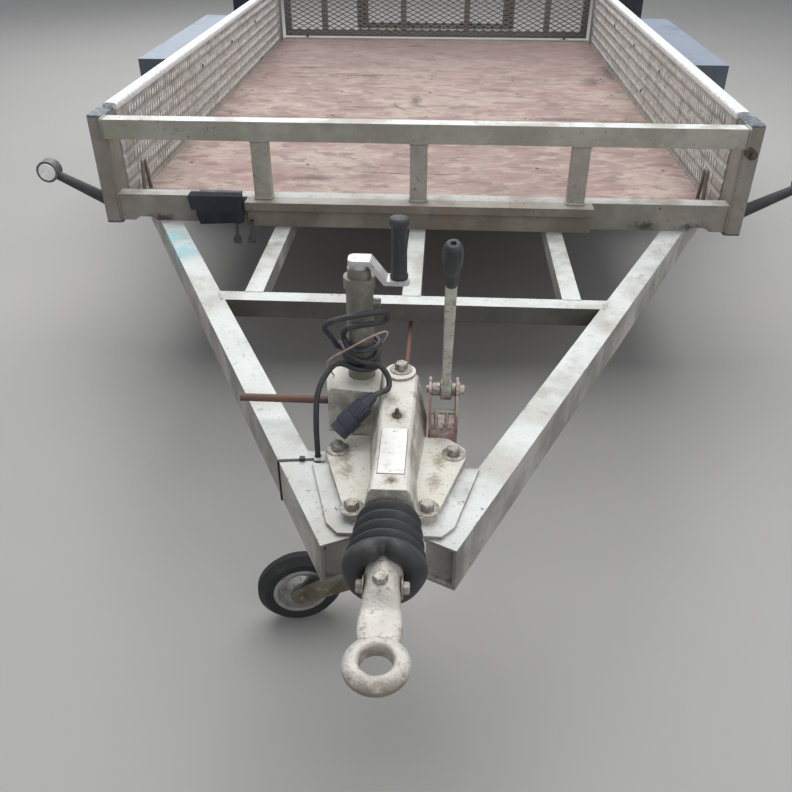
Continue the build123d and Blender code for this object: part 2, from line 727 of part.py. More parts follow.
def tyre():
    """Left road tyre, a hollow carcass with rounded shoulders, open to the rim."""
    half = TYRE_WIDTH / 2
    seat = RIM_SEAT + CLAMP_FIT
    crown = TYRE_RADIUS
    wall = TYRE_WALL
    outer = [
        (seat, RIM_HALF - 7), (RIM_FLANGE + 3, RIM_HALF - 5), (crown - 62, half), (crown - 20, half - 6),
        (crown, half - 38),
    ]
    inner = [(seat, RIM_HALF - 7 - wall), (crown - 62, half - wall), (crown - wall, half - 42)]
    profile = outer + [(r, -x) for r, x in reversed(outer)]
    profile += [(r, -x) for r, x in inner] + [(r, x) for r, x in reversed(inner)]
    return turned(profile, (TRACK_HALF, AXLE_Y, WHEEL_Z), (1, 0, 0))


def mudguard():
    """Left flat-topped mudguard of folded sheet, open below and to the wheel's face."""
    skin = GUARD_SKIN
    sides, run = (WALL_OUT, GUARD_OUT), (GUARD_FRONT, GUARD_REAR)
    low = GUARD_TOP - GUARD_DROP
    guard = block(sides, run, (low, GUARD_TOP))
    inside = (run[0] + skin, run[1] - skin)
    guard -= block((sides[0] - 1, sides[1] - skin), inside, (low - 1, GUARD_TOP - skin))
    guard -= block((sides[1] - skin - 1, sides[1] + 1), inside, (low - 1, GUARD_TOP - GUARD_SKIRT))
    return guard + block((WALL_OUT, WALL_OUT + skin), run, (GUARD_TOP - GUARD_SKIRT, GUARD_TOP))


pieces["axle_beam"] = axle_beam()
pieces["axle_arms"] = both(axle_arm())
for name, solid in (("hub", hub_drum()), ("rim", rim()), ("tyre", tyre())):
    pieces[name + "_left"] = solid
    pieces[name + "_right"] = solid.mirror(MIRROR)
pieces["mudguards"] = both(mudguard())


# Coupling

FLANGE_LOW = RAIL_TOP + GUSSET_THICK
FLANGE_TOP = FLANGE_LOW + FLANGE_THICK


# Columns: distance ahead of the front rail, half-width at the foot, half-width at the top
HUMP_SECTIONS = (
    (HOUSING_REAR + HOUSING_TOP_HALF, HOUSING_BASE_HALF, HOUSING_TOP_HALF),
    (HUMP_WAIST, HOUSING_BASE_HALF, HOUSING_TOP_HALF - 2),
    (HUMP_NOSE, HOUSING_BASE_HALF - 8, HOUSING_TOP_HALF - 5),
    (HOUSING_FRONT, HOUSING_BASE_HALF, HOUSING_TOP_HALF - 1),
)


def coupling_housing():
    """Casting: a lobed flange, a waisted hump over the draw tube and the jockey wheel's clamp."""
    wings = [(45, 208), (80, 206), (107, 180), (106, 154), (70, 42), (64, 25), (48, 19)]
    wings = [(x, behind - HOUSING_FRONT) for x, behind in wings]
    outline = polygon(wings + [(-x, y) for x, y in reversed(wings)])
    flange = extrude(fillet(outline.vertices(), FLANGE_ROUND), FLANGE_THICK)
    body = Pos(0, 0, FLANGE_LOW) * flange
    sections = []
    for reach, base, top in HUMP_SECTIONS:
        half = [(base, FLANGE_LOW), (base - 3, FLANGE_TOP), (top + 4, HOUSING_TOP - 5), (top, HOUSING_TOP)]
        outline = polygon(half + [(-x, z) for x, z in reversed(half)])
        sections.append((Plane.XZ.offset(reach) * outline).face())
    body += loft(sections, ruled=True)
    boss = (0, -HOUSING_REAR - HOUSING_TOP_HALF)
    body += bar((*boss, FLANGE_LOW), (*boss, HOUSING_TOP + 4), HOUSING_TOP_HALF)
    body += block((-28, 28), (-HUMP_WAIST, -HOUSING_REAR), (RAIL_BOTTOM + FLANGE_TOP / 3, FLANGE_LOW))
    corners = [(-30, -57), (-112, -47), (-CLAMP_OUT, -12), (-112, 26), (-30, 32)]
    clamp = slab([(x, MAST_Y + y) for x, y in corners], FLANGE_LOW, CLAMP_TOP)
    brow = clamp.faces().sort_by(Axis.Z)[-1].edges().sort_by(Axis.X)[:-1].sort_by(Axis.Y)[1:]
    body += chamfer(brow, 7)
    return body - bar((MAST_X, MAST_Y, -80), (MAST_X, MAST_Y, 120), MAST_RADIUS + CLAMP_FIT)


def bellows():
    """Rubber bellows round the draw tube: four ribs that widen towards the eye, then a band."""
    bore = TUBE_RADIUS + CLAMP_FIT
    pitch = (BELLOWS_LENGTH - BELLOWS_BAND) / BELLOWS_RIBS
    start, end = -HOUSING_FRONT, -HOUSING_FRONT - BELLOWS_LENGTH
    growth = (BELLOWS_RADIUS - BELLOWS_SMALL) / BELLOWS_RIBS
    outer = [(BELLOWS_SMALL - 8, start)]
    for rib in range(BELLOWS_RIBS):
        crest = BELLOWS_SMALL + rib * growth
        y = start - rib * pitch
        outer += [(crest, y - pitch * 0.35), (crest, y - pitch * 0.6), (crest - 6, y - pitch)]
    band = end + BELLOWS_BAND
    outer += [(BELLOWS_RADIUS, band - 5), (BELLOWS_RADIUS, end + 8), (BELLOWS_RADIUS - 5, end)]
    return turned(outer + [(bore, end), (bore, start)], (0, 0, TUBE_MID), (0, 1, 0))


def tow_eye():
    """Forged eye: a round ring on a flat neck, its shoulders drawn in to a socket on the draw tube."""
    neck = -HOUSING_FRONT - BELLOWS_LENGTH
    low, high = EYE_MID - EYE_THICK / 2, EYE_MID + EYE_THICK / 2
    ring = Pos(0, -EYE_REACH, EYE_MID) * Cylinder(EYE_RADIUS, EYE_THICK)
    ring = fillet(ring.edges(), EYE_THICK / 2 - 3)
    half = [
        (EYE_NECK_HALF, -EYE_REACH + EYE_BORE + 2), (EYE_NECK_HALF, -SOCKET_REACH - 15),
        (SOCKET_RADIUS, -SOCKET_REACH), (SOCKET_RADIUS, neck),
    ]
    shank = slab(half + [(-x, y) for x, y in reversed(half)], low, high)
    shank = chamfer(shank.edges().filter_by(Axis.Y), 3)
    socket = bar((0, neck, TUBE_MID), (0, -SOCKET_REACH, TUBE_MID), SOCKET_RADIUS)
    tube = bar((0, neck, TUBE_MID), (0, -HOUSING_FRONT, TUBE_MID), TUBE_RADIUS)
    wide = EYE_BORE + EYE_CHAMFER
    bore = turned([
        (0, low - 1), (wide, low - 1), (wide, low), (EYE_BORE, low + EYE_CHAMFER),
        (EYE_BORE, high - EYE_CHAMFER), (wide, high), (wide, high + 1), (0, high + 1),
    ], (0, -EYE_REACH, 0), (0, 0, 1))
    return ring + shank + socket + tube - bore


pieces["coupling_housing"] = coupling_housing()
pieces["bellows"] = bellows()
pieces["tow_eye"] = tow_eye()


# Jockey wheel

INNER_RADIUS = MAST_RADIUS - MAST_WALL - INNER_GAP
INNER_TOP = 0
INNER_LOW = CROWN_LOW + FORK_PLATE
YAW = Pos(MAST_X, MAST_Y, 0) * Rot(0, 0, JOCKEY_YAW)


def jockey_mast():
    """Outer tube with its stepped collar and a lug on the left."""
    top = MAST_TOP
    mast = bar((MAST_X, MAST_Y, MAST_LOW), (MAST_X, MAST_Y, top), MAST_RADIUS, MAST_RADIUS - MAST_WALL)
    mast += bar((MAST_X, MAST_Y, top - COLLAR), (MAST_X, MAST_Y, top), MAST_RADIUS + 3, MAST_RADIUS - 1)
    mast += bar((MAST_X, MAST_Y, top - 5), (MAST_X, MAST_Y, top), MAST_RADIUS)
    mast += bar((MAST_X, MAST_Y, top), (MAST_X, MAST_Y, top + NECK_HEIGHT), NECK_RADIUS)
    edge = MAST_X + MAST_RADIUS
    return mast + bar((edge - 3, MAST_Y, LUG_HEIGHT), (edge + 11, MAST_Y, LUG_HEIGHT), 7)


def jockey_crank():
    """Flat bar with rounded ends on top of the mast, bent down to carry the grip."""
    low = MAST_TOP + NECK_HEIGHT
    high = low + CRANK_HUB + CRANK_THICK
    drop = high - CRANK_DROP
    hub = bar((MAST_X, MAST_Y, low), (MAST_X, MAST_Y, high), 15)
    side = polygon([
        (MAST_X - 16, high - CRANK_THICK), (MAST_X - 16, high), (MAST_X + 18, high), (MAST_X + 42, drop),
        (GRIP_X + 16, drop), (GRIP_X + 16, drop - CRANK_THICK), (MAST_X + 38, drop - CRANK_THICK),
        (MAST_X + 14, high - CRANK_THICK),
    ])
    arm = along_y(side, MAST_Y - CRANK_WIDTH / 2, MAST_Y + CRANK_WIDTH / 2)
    return fillet(arm.edges().filter_by(Axis.Z), 9) + hub


def jockey_grip():
    """Fluted hand grip with a ring at its foot and a disc at its head."""
    base = MAST_TOP + NECK_HEIGHT + CRANK_HUB + CRANK_THICK - CRANK_DROP
    profile = [(0, 0), (14, 0), (14, 6), (12, 8), (12, 82), (15, 85), (15, 91), (11, 96), (0, 96)]
    grip = turned(profile, (GRIP_X, MAST_Y, base), (0, 0, 1))
    for flute in PolarLocations(13.5, 8):
        x, y = GRIP_X + flute.position.X, MAST_Y + flute.position.Y
        grip -= bar((x, y, base + 14), (x, y, base + 76), 3)
    return grip


def fork():
    """Crown and two pressed cheeks of the castor, with the axle pin between them."""
    half = JOCKEY_WIDTH / 2 + FORK_GAP
    hub = Pos(-JOCKEY_TRAIL, JOCKEY_Z) * Circle(FORK_HUB)
    head = Pos(0, CROWN_LOW - FORK_HEAD / 2) * Rectangle(52, FORK_HEAD)
    face = make_hull(hub.edges() + head.edges())
    plate = along_y(face, half, half + FORK_PLATE)
    crown = block((-26, 26), (-half - FORK_PLATE, half + FORK_PLATE), (CROWN_LOW, CROWN_LOW + FORK_PLATE))
    pin = bar((-JOCKEY_TRAIL, -half - 10, JOCKEY_Z), (-JOCKEY_TRAIL, half + 10, JOCKEY_Z), JOCKEY_PIN)
    return YAW * (plate + plate.mirror(Plane.XZ) + crown + pin)


def jockey_wheel(part):
    """Pressed rim or solid tyre of the jockey wheel."""
    half = JOCKEY_WIDTH / 2
    edge = JOCKEY_RIM - 7
    if part == "tyre":
        profile = [
            (JOCKEY_RIM, -half + 3), (JOCKEY_RADIUS - 12, -half), (JOCKEY_RADIUS, -6), (JOCKEY_RADIUS, 6),
            (JOCKEY_RADIUS - 12, half), (JOCKEY_RIM, half - 3),
        ]
    else:
        bore = JOCKEY_PIN + PIN_FIT
        profile = [
            (bore, -half + 2), (14, -half + 2), (16, -half + 8), (28, -4), (edge - 4, -4), (edge, -half + 3),
            (JOCKEY_RIM, -half + 3), (JOCKEY_RIM, half - 3), (edge, half - 3), (edge - 4, 4), (28, 4),
            (16, half - 8), (14, half - 2), (bore, half - 2),
        ]
    return YAW * turned(profile, (-JOCKEY_TRAIL, 0, JOCKEY_Z), (0, 1, 0))


pieces["jockey_mast"] = jockey_mast()
pieces["jockey_clamp_rod"] = bar(
    (-CLAMP_OUT, MAST_Y - 12, ROD_HEIGHT), (-CLAMP_OUT - ROD_LENGTH, MAST_Y - 12, ROD_HEIGHT), ROD_RADIUS)
pieces["jockey_crank"] = jockey_crank()
pieces["jockey_grip"] = jockey_grip()
pieces["jockey_tube"] = bar(
    (MAST_X, MAST_Y, INNER_LOW), (MAST_X, MAST_Y, INNER_TOP), INNER_RADIUS, INNER_RADIUS - INNER_WALL)
pieces["jockey_fork"] = fork()
pieces["jockey_rim"] = jockey_wheel("rim")
pieces["jockey_tyre"] = jockey_wheel("tyre")


# Handbrake and brake rod

def brake_bracket():
    """Two cheek plates on a foot beside the casting, with the lever's pin through them."""
    low = FLANGE_LOW
    pin_y = BRAKE_PIVOT[1]
    outline = [(-41, low), (43, low), (43, 80), (21, 106), (-16, 106), (-41, 70)]
    outline = [(pin_y + y, z) for y, z in outline]
    reach = BRAKE_CHEEK + 4
    bracket = block((HOUSING_BASE_HALF, BRAKE_X + reach), (pin_y - 39, pin_y + 43), (low, low + 5))
    for ends in ((-reach, -BRAKE_CHEEK), (BRAKE_CHEEK, reach)):
        bracket += along_x(polygon(outline), BRAKE_X + ends[0], BRAKE_X + ends[1])
    pin = BRAKE_PIVOT[1:]
    return bracket + bar((BRAKE_X - reach, *pin), (BRAKE_X + reach + 5, *pin), BRAKE_PIN)


def brake_lever():
    """Flat lever with an eye, leaning forward from its pin."""
    plane = lever_plane(0)
    length = (Vector(*BRAKE_TIP) - Vector(*BRAKE_PIVOT)).length
    lever = extrude(plane * Rectangle(8, 20), length - GRIP_LENGTH)
    lever += bar((BRAKE_X - 5, *BRAKE_PIVOT[1:]), (BRAKE_X + 5, *BRAKE_PIVOT[1:]), 17)
    return lever - bar((BRAKE_X - 9, *BRAKE_PIVOT[1:]), (BRAKE_X + 9, *BRAKE_PIVOT[1:]), BRAKE_PIN + PIN_FIT)


def lever_plane(distance):
    """Plane square to the handbrake lever at a distance from its pin."""
    line = Vector(*BRAKE_TIP) - Vector(*BRAKE_PIVOT)
    return Plane(origin=Vector(*BRAKE_PIVOT) + line.normalized() * distance, x_dir=(1, 0, 0), z_dir=line)


def brake_grip():
    """Moulded grip on the end of the lever, fuller towards its head."""
    line = Vector(*BRAKE_TIP) - Vector(*BRAKE_PIVOT)
    start = Vector(*BRAKE_PIVOT) + line.normalized() * (line.length - GRIP_LENGTH)
    profile = [
        (0, 0), (11, 0), (11, 42), (13, 44), (13, 50), (18, 74), (18, 90), (13, 105), (8, GRIP_LENGTH),
        (0, GRIP_LENGTH),
    ]
    return turned(profile, tuple(start), tuple(line))


pieces["brake_bracket"] = brake_bracket()
pieces["brake_lever"] = brake_lever()
pieces["brake_grip"] = brake_grip()
pieces["brake_rod"] = bar(
    (0, -HOUSING_REAR + 0.4, -45), (0, BEAM_Y - BEAM_SIZE / 2 - 0.4, RAIL_BOTTOM - 19), 5)


# Ramp

def ramp_frame():
    """Welded frame of thin tube, open at its lower corners, with its hinge and leg lugs."""
    low, high = RAMP_LOW, RAMP_LOW + RAMP_HEIGHT
    wall = RAMP_WALL
    y = (RAMP_FRONT, RAMP_BACK)
    bore_y = (RAMP_FRONT + wall, RAMP_BACK - wall)
    edge = RAMP_HALF - RAMP_TUBE / 2
    frame = []
    bores = [block((-RAMP_HALF - 1, RAMP_HALF + 1), bore_y, (low + wall, low + RAMP_TUBE - wall))]
    for z in (low, *RAMP_RAILS, high - RAMP_TUBE):
        frame.append(block((-RAMP_HALF, RAMP_HALF), y, (z, z + RAMP_TUBE)))
        bores.append(block((-edge, edge), bore_y, (z + wall, z + RAMP_TUBE - wall)))
    uprights = [(edge, RAMP_TUBE)] + [(x, RAMP_BAR_WIDTH) for x in RAMP_BARS]
    for x, width in uprights + [(-x, width) for x, width in uprights]:
        frame.append(block((x - width / 2, x + width / 2), y, (low, high)))
        bores.append(block((x - width / 2 + wall, x + width / 2 - wall), bore_y, (low + wall, high - wall)))
    solid = Part() + frame - bores
    for side in (-1, 1):
        solid += hinge_lug(side)
        solid += leg_lugs(side)
    return solid


def hinge_lug(side):
    """Plate under the ramp with the bore for a hinge pin."""
    x = side * HINGE_X
    lug = block((x - LUG_WIDTH / 2, x + LUG_WIDTH / 2), (HINGE_Y - HINGE_RADIUS, HINGE_Y + HINGE_RADIUS - 7),
                (HINGE_Z, RAMP_LOW))
    lug += bar((x - LUG_WIDTH / 2, HINGE_Y, HINGE_Z), (x + LUG_WIDTH / 2, HINGE_Y, HINGE_Z), HINGE_RADIUS)
    bore = HINGE_PIN + PIN_FIT
    return lug - bar((x - LUG_WIDTH, HINGE_Y, HINGE_Z), (x + LUG_WIDTH, HINGE_Y, HINGE_Z), bore)


def leg_lugs(side):
    """Two plates and the pin that one ramp leg swings on."""
    x = side * LEG_X
    reach = LEG_WIDTH / 2 + MOVE_GAP
    lugs = bar((x - reach, LEG_PIVOT_Y, LEG_PIVOT_Z), (x + reach, LEG_PIVOT_Y, LEG_PIVOT_Z), LEG_PIN)
    for sign in (-1, 1):
        ends = sorted((x + sign * reach, x + sign * (reach + 6)))
        lugs += block(ends, (RAMP_BACK, LEG_PIVOT_Y + 10), (LEG_PIVOT_Z - 13, LEG_PIVOT_Z + 13))
    return lugs


def ramp_hinge(side):
    """Pair of cheeks on the rear sill with the hinge pin through them."""
    x = side * HINGE_X
    half = LUG_WIDTH / 2
    hinge = bar((x - half - 16, HINGE_Y, HINGE_Z), (x + half + 16, HINGE_Y, HINGE_Z), HINGE_PIN)
    for sign in (-1, 1):
        ends = sorted((x + sign * (half + MOVE_GAP), x + sign * (half + MOVE_GAP + 8)))
        hinge += block(ends, (BED_LENGTH, HINGE_Y), (HINGE_Z - HINGE_RADIUS, HINGE_Z + HINGE_RADIUS))
        hinge += bar((ends[0], HINGE_Y, HINGE_Z), (ends[1], HINGE_Y, HINGE_Z), HINGE_RADIUS)
    return hinge


def ramp_mesh():
    """Diamond mesh on the ramp's inner face: a sheet with rows of diamond holes."""
    half = RAMP_HALF - 6
    low, high = RAMP_LOW + 6, RAMP_LOW + RAMP_HEIGHT - 6
    wide = MESH_PITCH_X / 2 - MESH_STRAND
    tall = MESH_PITCH_Z / 2 - MESH_STRAND / 2
    outer = Wire.make_polygon([(-half, low), (half, low), (half, high), (-half, high)], close=True)
    holes = []
    rows = int((high - low) / MESH_PITCH_Z * 2) - 1
    columns = int(half / MESH_PITCH_X) + 1
    for row in range(rows):
        z = low + (row + 1) * MESH_PITCH_Z / 2
        for column in range(-columns, columns + 1):
            x = (column + row % 2 / 2) * MESH_PITCH_X
            if abs(x) + wide > half - 3:
                continue
            corners = [(x - wide, z), (x, z + tall), (x + wide, z), (x, z - tall)]
            holes.append(Wire.make_polygon(corners, close=True))
    return along_y(Face(outer, holes), RAMP_FRONT - MESH_THICK, RAMP_FRONT)


def ramp_legs():
    """Two tube legs that hang from the ramp, joined by a foot bar; their feet are open."""
    wall = RAMP_WALL
    y = (LEG_FRONT, LEG_FRONT + LEG_THICK)
    bore_y = (y[0] + wall, y[1] - wall)
    foot = (LEG_FOOT_Z, LEG_FOOT_Z + LEG_FOOT)
    legs = block((-LEG_X, LEG_X), y, foot)
    bores = [block((-LEG_X, LEG_X), bore_y, (foot[0] + wall, foot[1] - wall))]
    for side in (-1, 1):
        x = side * LEG_X
        ends = (x - LEG_WIDTH / 2, x + LEG_WIDTH / 2)
        head = LEG_PIVOT_Z - LEG_THICK
        legs += block(ends, y, (LEG_FOOT_Z, LEG_PIVOT_Z))
        legs += bar((ends[0], LEG_PIVOT_Y, LEG_PIVOT_Z), (ends[1], LEG_PIVOT_Y, LEG_PIVOT_Z), LEG_THICK / 2)
        bores.append(block((ends[0] + wall, ends[1] - wall), bore_y, (LEG_FOOT_Z - 1, head)))
        bores.append(bar((ends[0] - 1, LEG_PIVOT_Y, LEG_PIVOT_Z), (ends[1] + 1, LEG_PIVOT_Y, LEG_PIVOT_Z),
                         LEG_PIN + PIN_FIT))
    return legs - bores


pieces["ramp_frame"] = ramp_frame()
pieces["ramp_mesh"] = ramp_mesh()
pieces["ramp_legs"] = ramp_legs()
pieces["ramp_hinges"] = together([ramp_hinge(-1), ramp_hinge(1)])


# Rear lamps

REAR_LAMP_WIDTH = 190
REAR_LAMP_LOW = 95
REAR_LAMP_HEIGHT = 150
REAR_LAMP_DEPTH = 50
REAR_LAMP_PROUD = 8
REAR_LENS_THICK = 14
REAR_LENS_RIM = 8


def rear_lamp(part):
    """Left rear lamp outside the rear post: its housing or its lens."""
    back = BED_LENGTH + REAR_LAMP_PROUD
    out, high = POST_OUT + REAR_LAMP_WIDTH, REAR_LAMP_LOW + REAR_LAMP_HEIGHT
    rim = REAR_LENS_RIM
    if part == "housing":
        return block((POST_OUT, out), (back - REAR_LAMP_DEPTH, back), (REAR_LAMP_LOW, high))
    heights = (REAR_LAMP_LOW + rim, high - rim)
    return block((POST_OUT + 12, out - rim), (back, back + REAR_LENS_THICK), heights)


pieces["rear_lamps"] = both(rear_lamp("housing"))
pieces["rear_lenses"] = both(rear_lamp("lens"))


# Cord to the towing vehicle

LEAD = [
    (CLIP_X, CLIP_Y, -30), (CLIP_X, CLIP_Y - 1, 18), (CLIP_X - 2, CLIP_Y + 12, 62),
    (CLIP_X - 1, CLIP_Y + 36, 108), (-104, MAST_Y - 31, 134), (-88, MAST_Y - 24, 140),
]
# Their second column counts from the middle of the mast
LOOP = [
    (-97, -12, 150), (-104, -26, 178), (-119, -33, 200), (-94, -39, 216), (-58, -40, 224),
    (-22, -22, 224), (-18, -16, 209), (-54, -29, 203), (-84, -27, 194), (-87, -16, 168),
    (-85, -14, 148),
]
TAIL = [(-32, -20, 126), (-16, -32, 112), (-14, -50, 100), (-30, -66, 104), (-40, -73, 98)]
WIRE = [
    (-106, -10, CLAMP_TOP + 1), (-116, -22, 122), (-110, -32, 142), (-76, -44, 169), (-46, -40, 187),
    (-24, -28, 192), (-16, -14, 182), (-28, -2, 158),
]


def by_mast(points):
    """A route whose Y counts from the middle of the mast."""
    return [(x, MAST_Y + y, z) for x, y, z in points]


def corner_radii(points):
    """Radius of the arc at each corner of a route, as large as its two runs allow."""
    radii = []
    for before, corner, after in zip(points, points[1:], points[2:]):
        first = Vector(*corner) - Vector(*before)
        second = Vector(*after) - Vector(*corner)
        turn = radians(first.get_angle(second))
        radii.append(0.45 * min(first.length, second.length) / tan(turn / 2))
    return radii


def cord(name, points, radius):
    """Tube of straight runs and tangent arcs along a route."""
    radii = corner_radii(points)
    print(name, "radii", [round(r) for r in radii])
    path = FilletPolyline(*points, radius=radii)
    tube = sweep(Plane(origin=path @ 0, z_dir=path % 0) * Circle(radius), path=path)
    print(name, "length", round(path.length), "share", round(tube.volume / (path.length * pi * radius**2), 3))
    return tube


def cord_coil():
    """Outer shape of the turns of cord wound round the mast."""
    profile = [
        (COIL_IN, COIL_LOW + 5), (COIL_IN + 5, COIL_LOW), (COIL_OUT - 8, COIL_LOW),
        (COIL_OUT, COIL_LOW + 10), (COIL_OUT, COIL_HIGH - 10), (COIL_OUT - 8, COIL_HIGH),
        (COIL_IN + 4, COIL_HIGH), (COIL_IN, COIL_HIGH - 5),
    ]
    return turned([(r, z - COIL_LOW) for r, z in profile], (MAST_X, MAST_Y, COIL_LOW), (0, 0, 1))


def plug():
    """Round plug at the end of the cord, lying on the casting's shoulder."""
    start = Vector(-38, MAST_Y - 72, 102)
    line = Vector(-92, MAST_Y - 104, 52) - start
    profile = [(0, 0), (8, 0), (11, 16), (15, 20), (15, 42), (18, 44), (18, 62), (16, 64), (16, 78), (0, 78)]
    return turned(profile, tuple(start), tuple(line))


pieces["cord_lead"] = cord("lead", LEAD, CORD_RADIUS)
pieces["cord_loop"] = cord("loop", by_mast(LOOP), CORD_RADIUS)
pieces["cord_coil"] = cord_coil()
pieces["cord_tail"] = cord("tail", by_mast(TAIL), CORD_RADIUS)
pieces["cord_plug"] = plug()
pieces["breakaway_wire"] = cord("wire", by_mast(WIRE), WIRE_RADIUS)

os.makedirs("parts", exist_ok=True)
ground = Pos(0, FRONT_Y, POST_CLEARANCE)
for name, shape in pieces.items():
    export_step(ground * shape, f"parts/{name}.step")
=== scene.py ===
"""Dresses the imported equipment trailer: galvanised drawbar, worn plywood deck, treaded alloy walls,
a cast overrun coupling with its tow eye, jockey wheel, wound cord, road wheels and mesh ramp."""
import math

import bpy
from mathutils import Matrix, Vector


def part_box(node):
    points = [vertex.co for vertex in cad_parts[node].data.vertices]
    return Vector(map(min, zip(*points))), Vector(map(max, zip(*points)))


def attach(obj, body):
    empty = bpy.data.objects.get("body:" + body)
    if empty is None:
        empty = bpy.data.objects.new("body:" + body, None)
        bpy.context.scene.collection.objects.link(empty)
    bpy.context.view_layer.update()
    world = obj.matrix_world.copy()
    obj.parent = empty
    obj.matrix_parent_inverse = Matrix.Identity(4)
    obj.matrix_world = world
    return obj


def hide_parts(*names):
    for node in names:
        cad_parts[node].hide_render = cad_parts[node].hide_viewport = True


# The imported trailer
# Its solids come from the CAD model. Places below are measured as on the drawing: across from the
# middle, back from the front rail's face and up from the foot of the corner posts, in metres.

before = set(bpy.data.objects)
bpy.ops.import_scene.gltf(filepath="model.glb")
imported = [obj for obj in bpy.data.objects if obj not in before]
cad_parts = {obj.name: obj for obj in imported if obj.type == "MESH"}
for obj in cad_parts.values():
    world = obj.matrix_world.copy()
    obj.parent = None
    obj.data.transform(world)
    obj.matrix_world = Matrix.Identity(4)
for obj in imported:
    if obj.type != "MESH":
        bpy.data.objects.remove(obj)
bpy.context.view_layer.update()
rail_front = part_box("front_bottom_rail")[0].y
post_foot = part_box("post_caps")[0].z


def at(x, y, z):
    """A drawn place as a point in the trailer's frame."""
    return Vector((x, y + rail_front, z + post_foot))


# Yard and camera
# A plain pale floor under an overcast studio sky, seen from chest height, two paces ahead of the
# tow eye and looking down along the deck.

EYE_PLACE = at(0.0564, -1.9631, 0.7908)
LOOK_DOWN = 33.59
LOOK_RIGHT = -3.27
FOCAL_PIXELS = 809.9
PICTURE_PIXELS = 792
SENSOR_MM = 36

camera = bpy.data.objects.new("camera", bpy.data.cameras.new("camera"))
camera.data.sensor_width = SENSOR_MM
camera.data.lens = SENSOR_MM * FOCAL_PIXELS / PICTURE_PIXELS
camera.data.clip_start = 0.05
camera.data.clip_end = 60
camera.location = EYE_PLACE
camera.rotation_euler = (math.radians(90 - LOOK_DOWN), 0, math.radians(-LOOK_RIGHT))
bpy.context.scene.collection.objects.link(camera)
bpy.context.scene.camera = camera
bpy.context.scene.view_settings.view_transform = "Standard"


def add_node(tree, kind, inputs, **settings):
    """A node with each input joined to a socket or set to a value; gives its outputs."""
    node = tree.nodes.new(kind)
    for key, value in settings.items():
        setattr(node, key, value)
    for key, value in inputs.items():
        if isinstance(value, bpy.types.NodeSocket):
            tree.links.new(value, node.inputs[key])
        else:
            node.inputs[key].default_value = value
    return node.outputs


# Numbers of a mix node's two inputs and its output, for colours and for plain values
MIX_SOCKETS = {"RGBA": (6, 7, 2), "FLOAT": (2, 3, 0)}


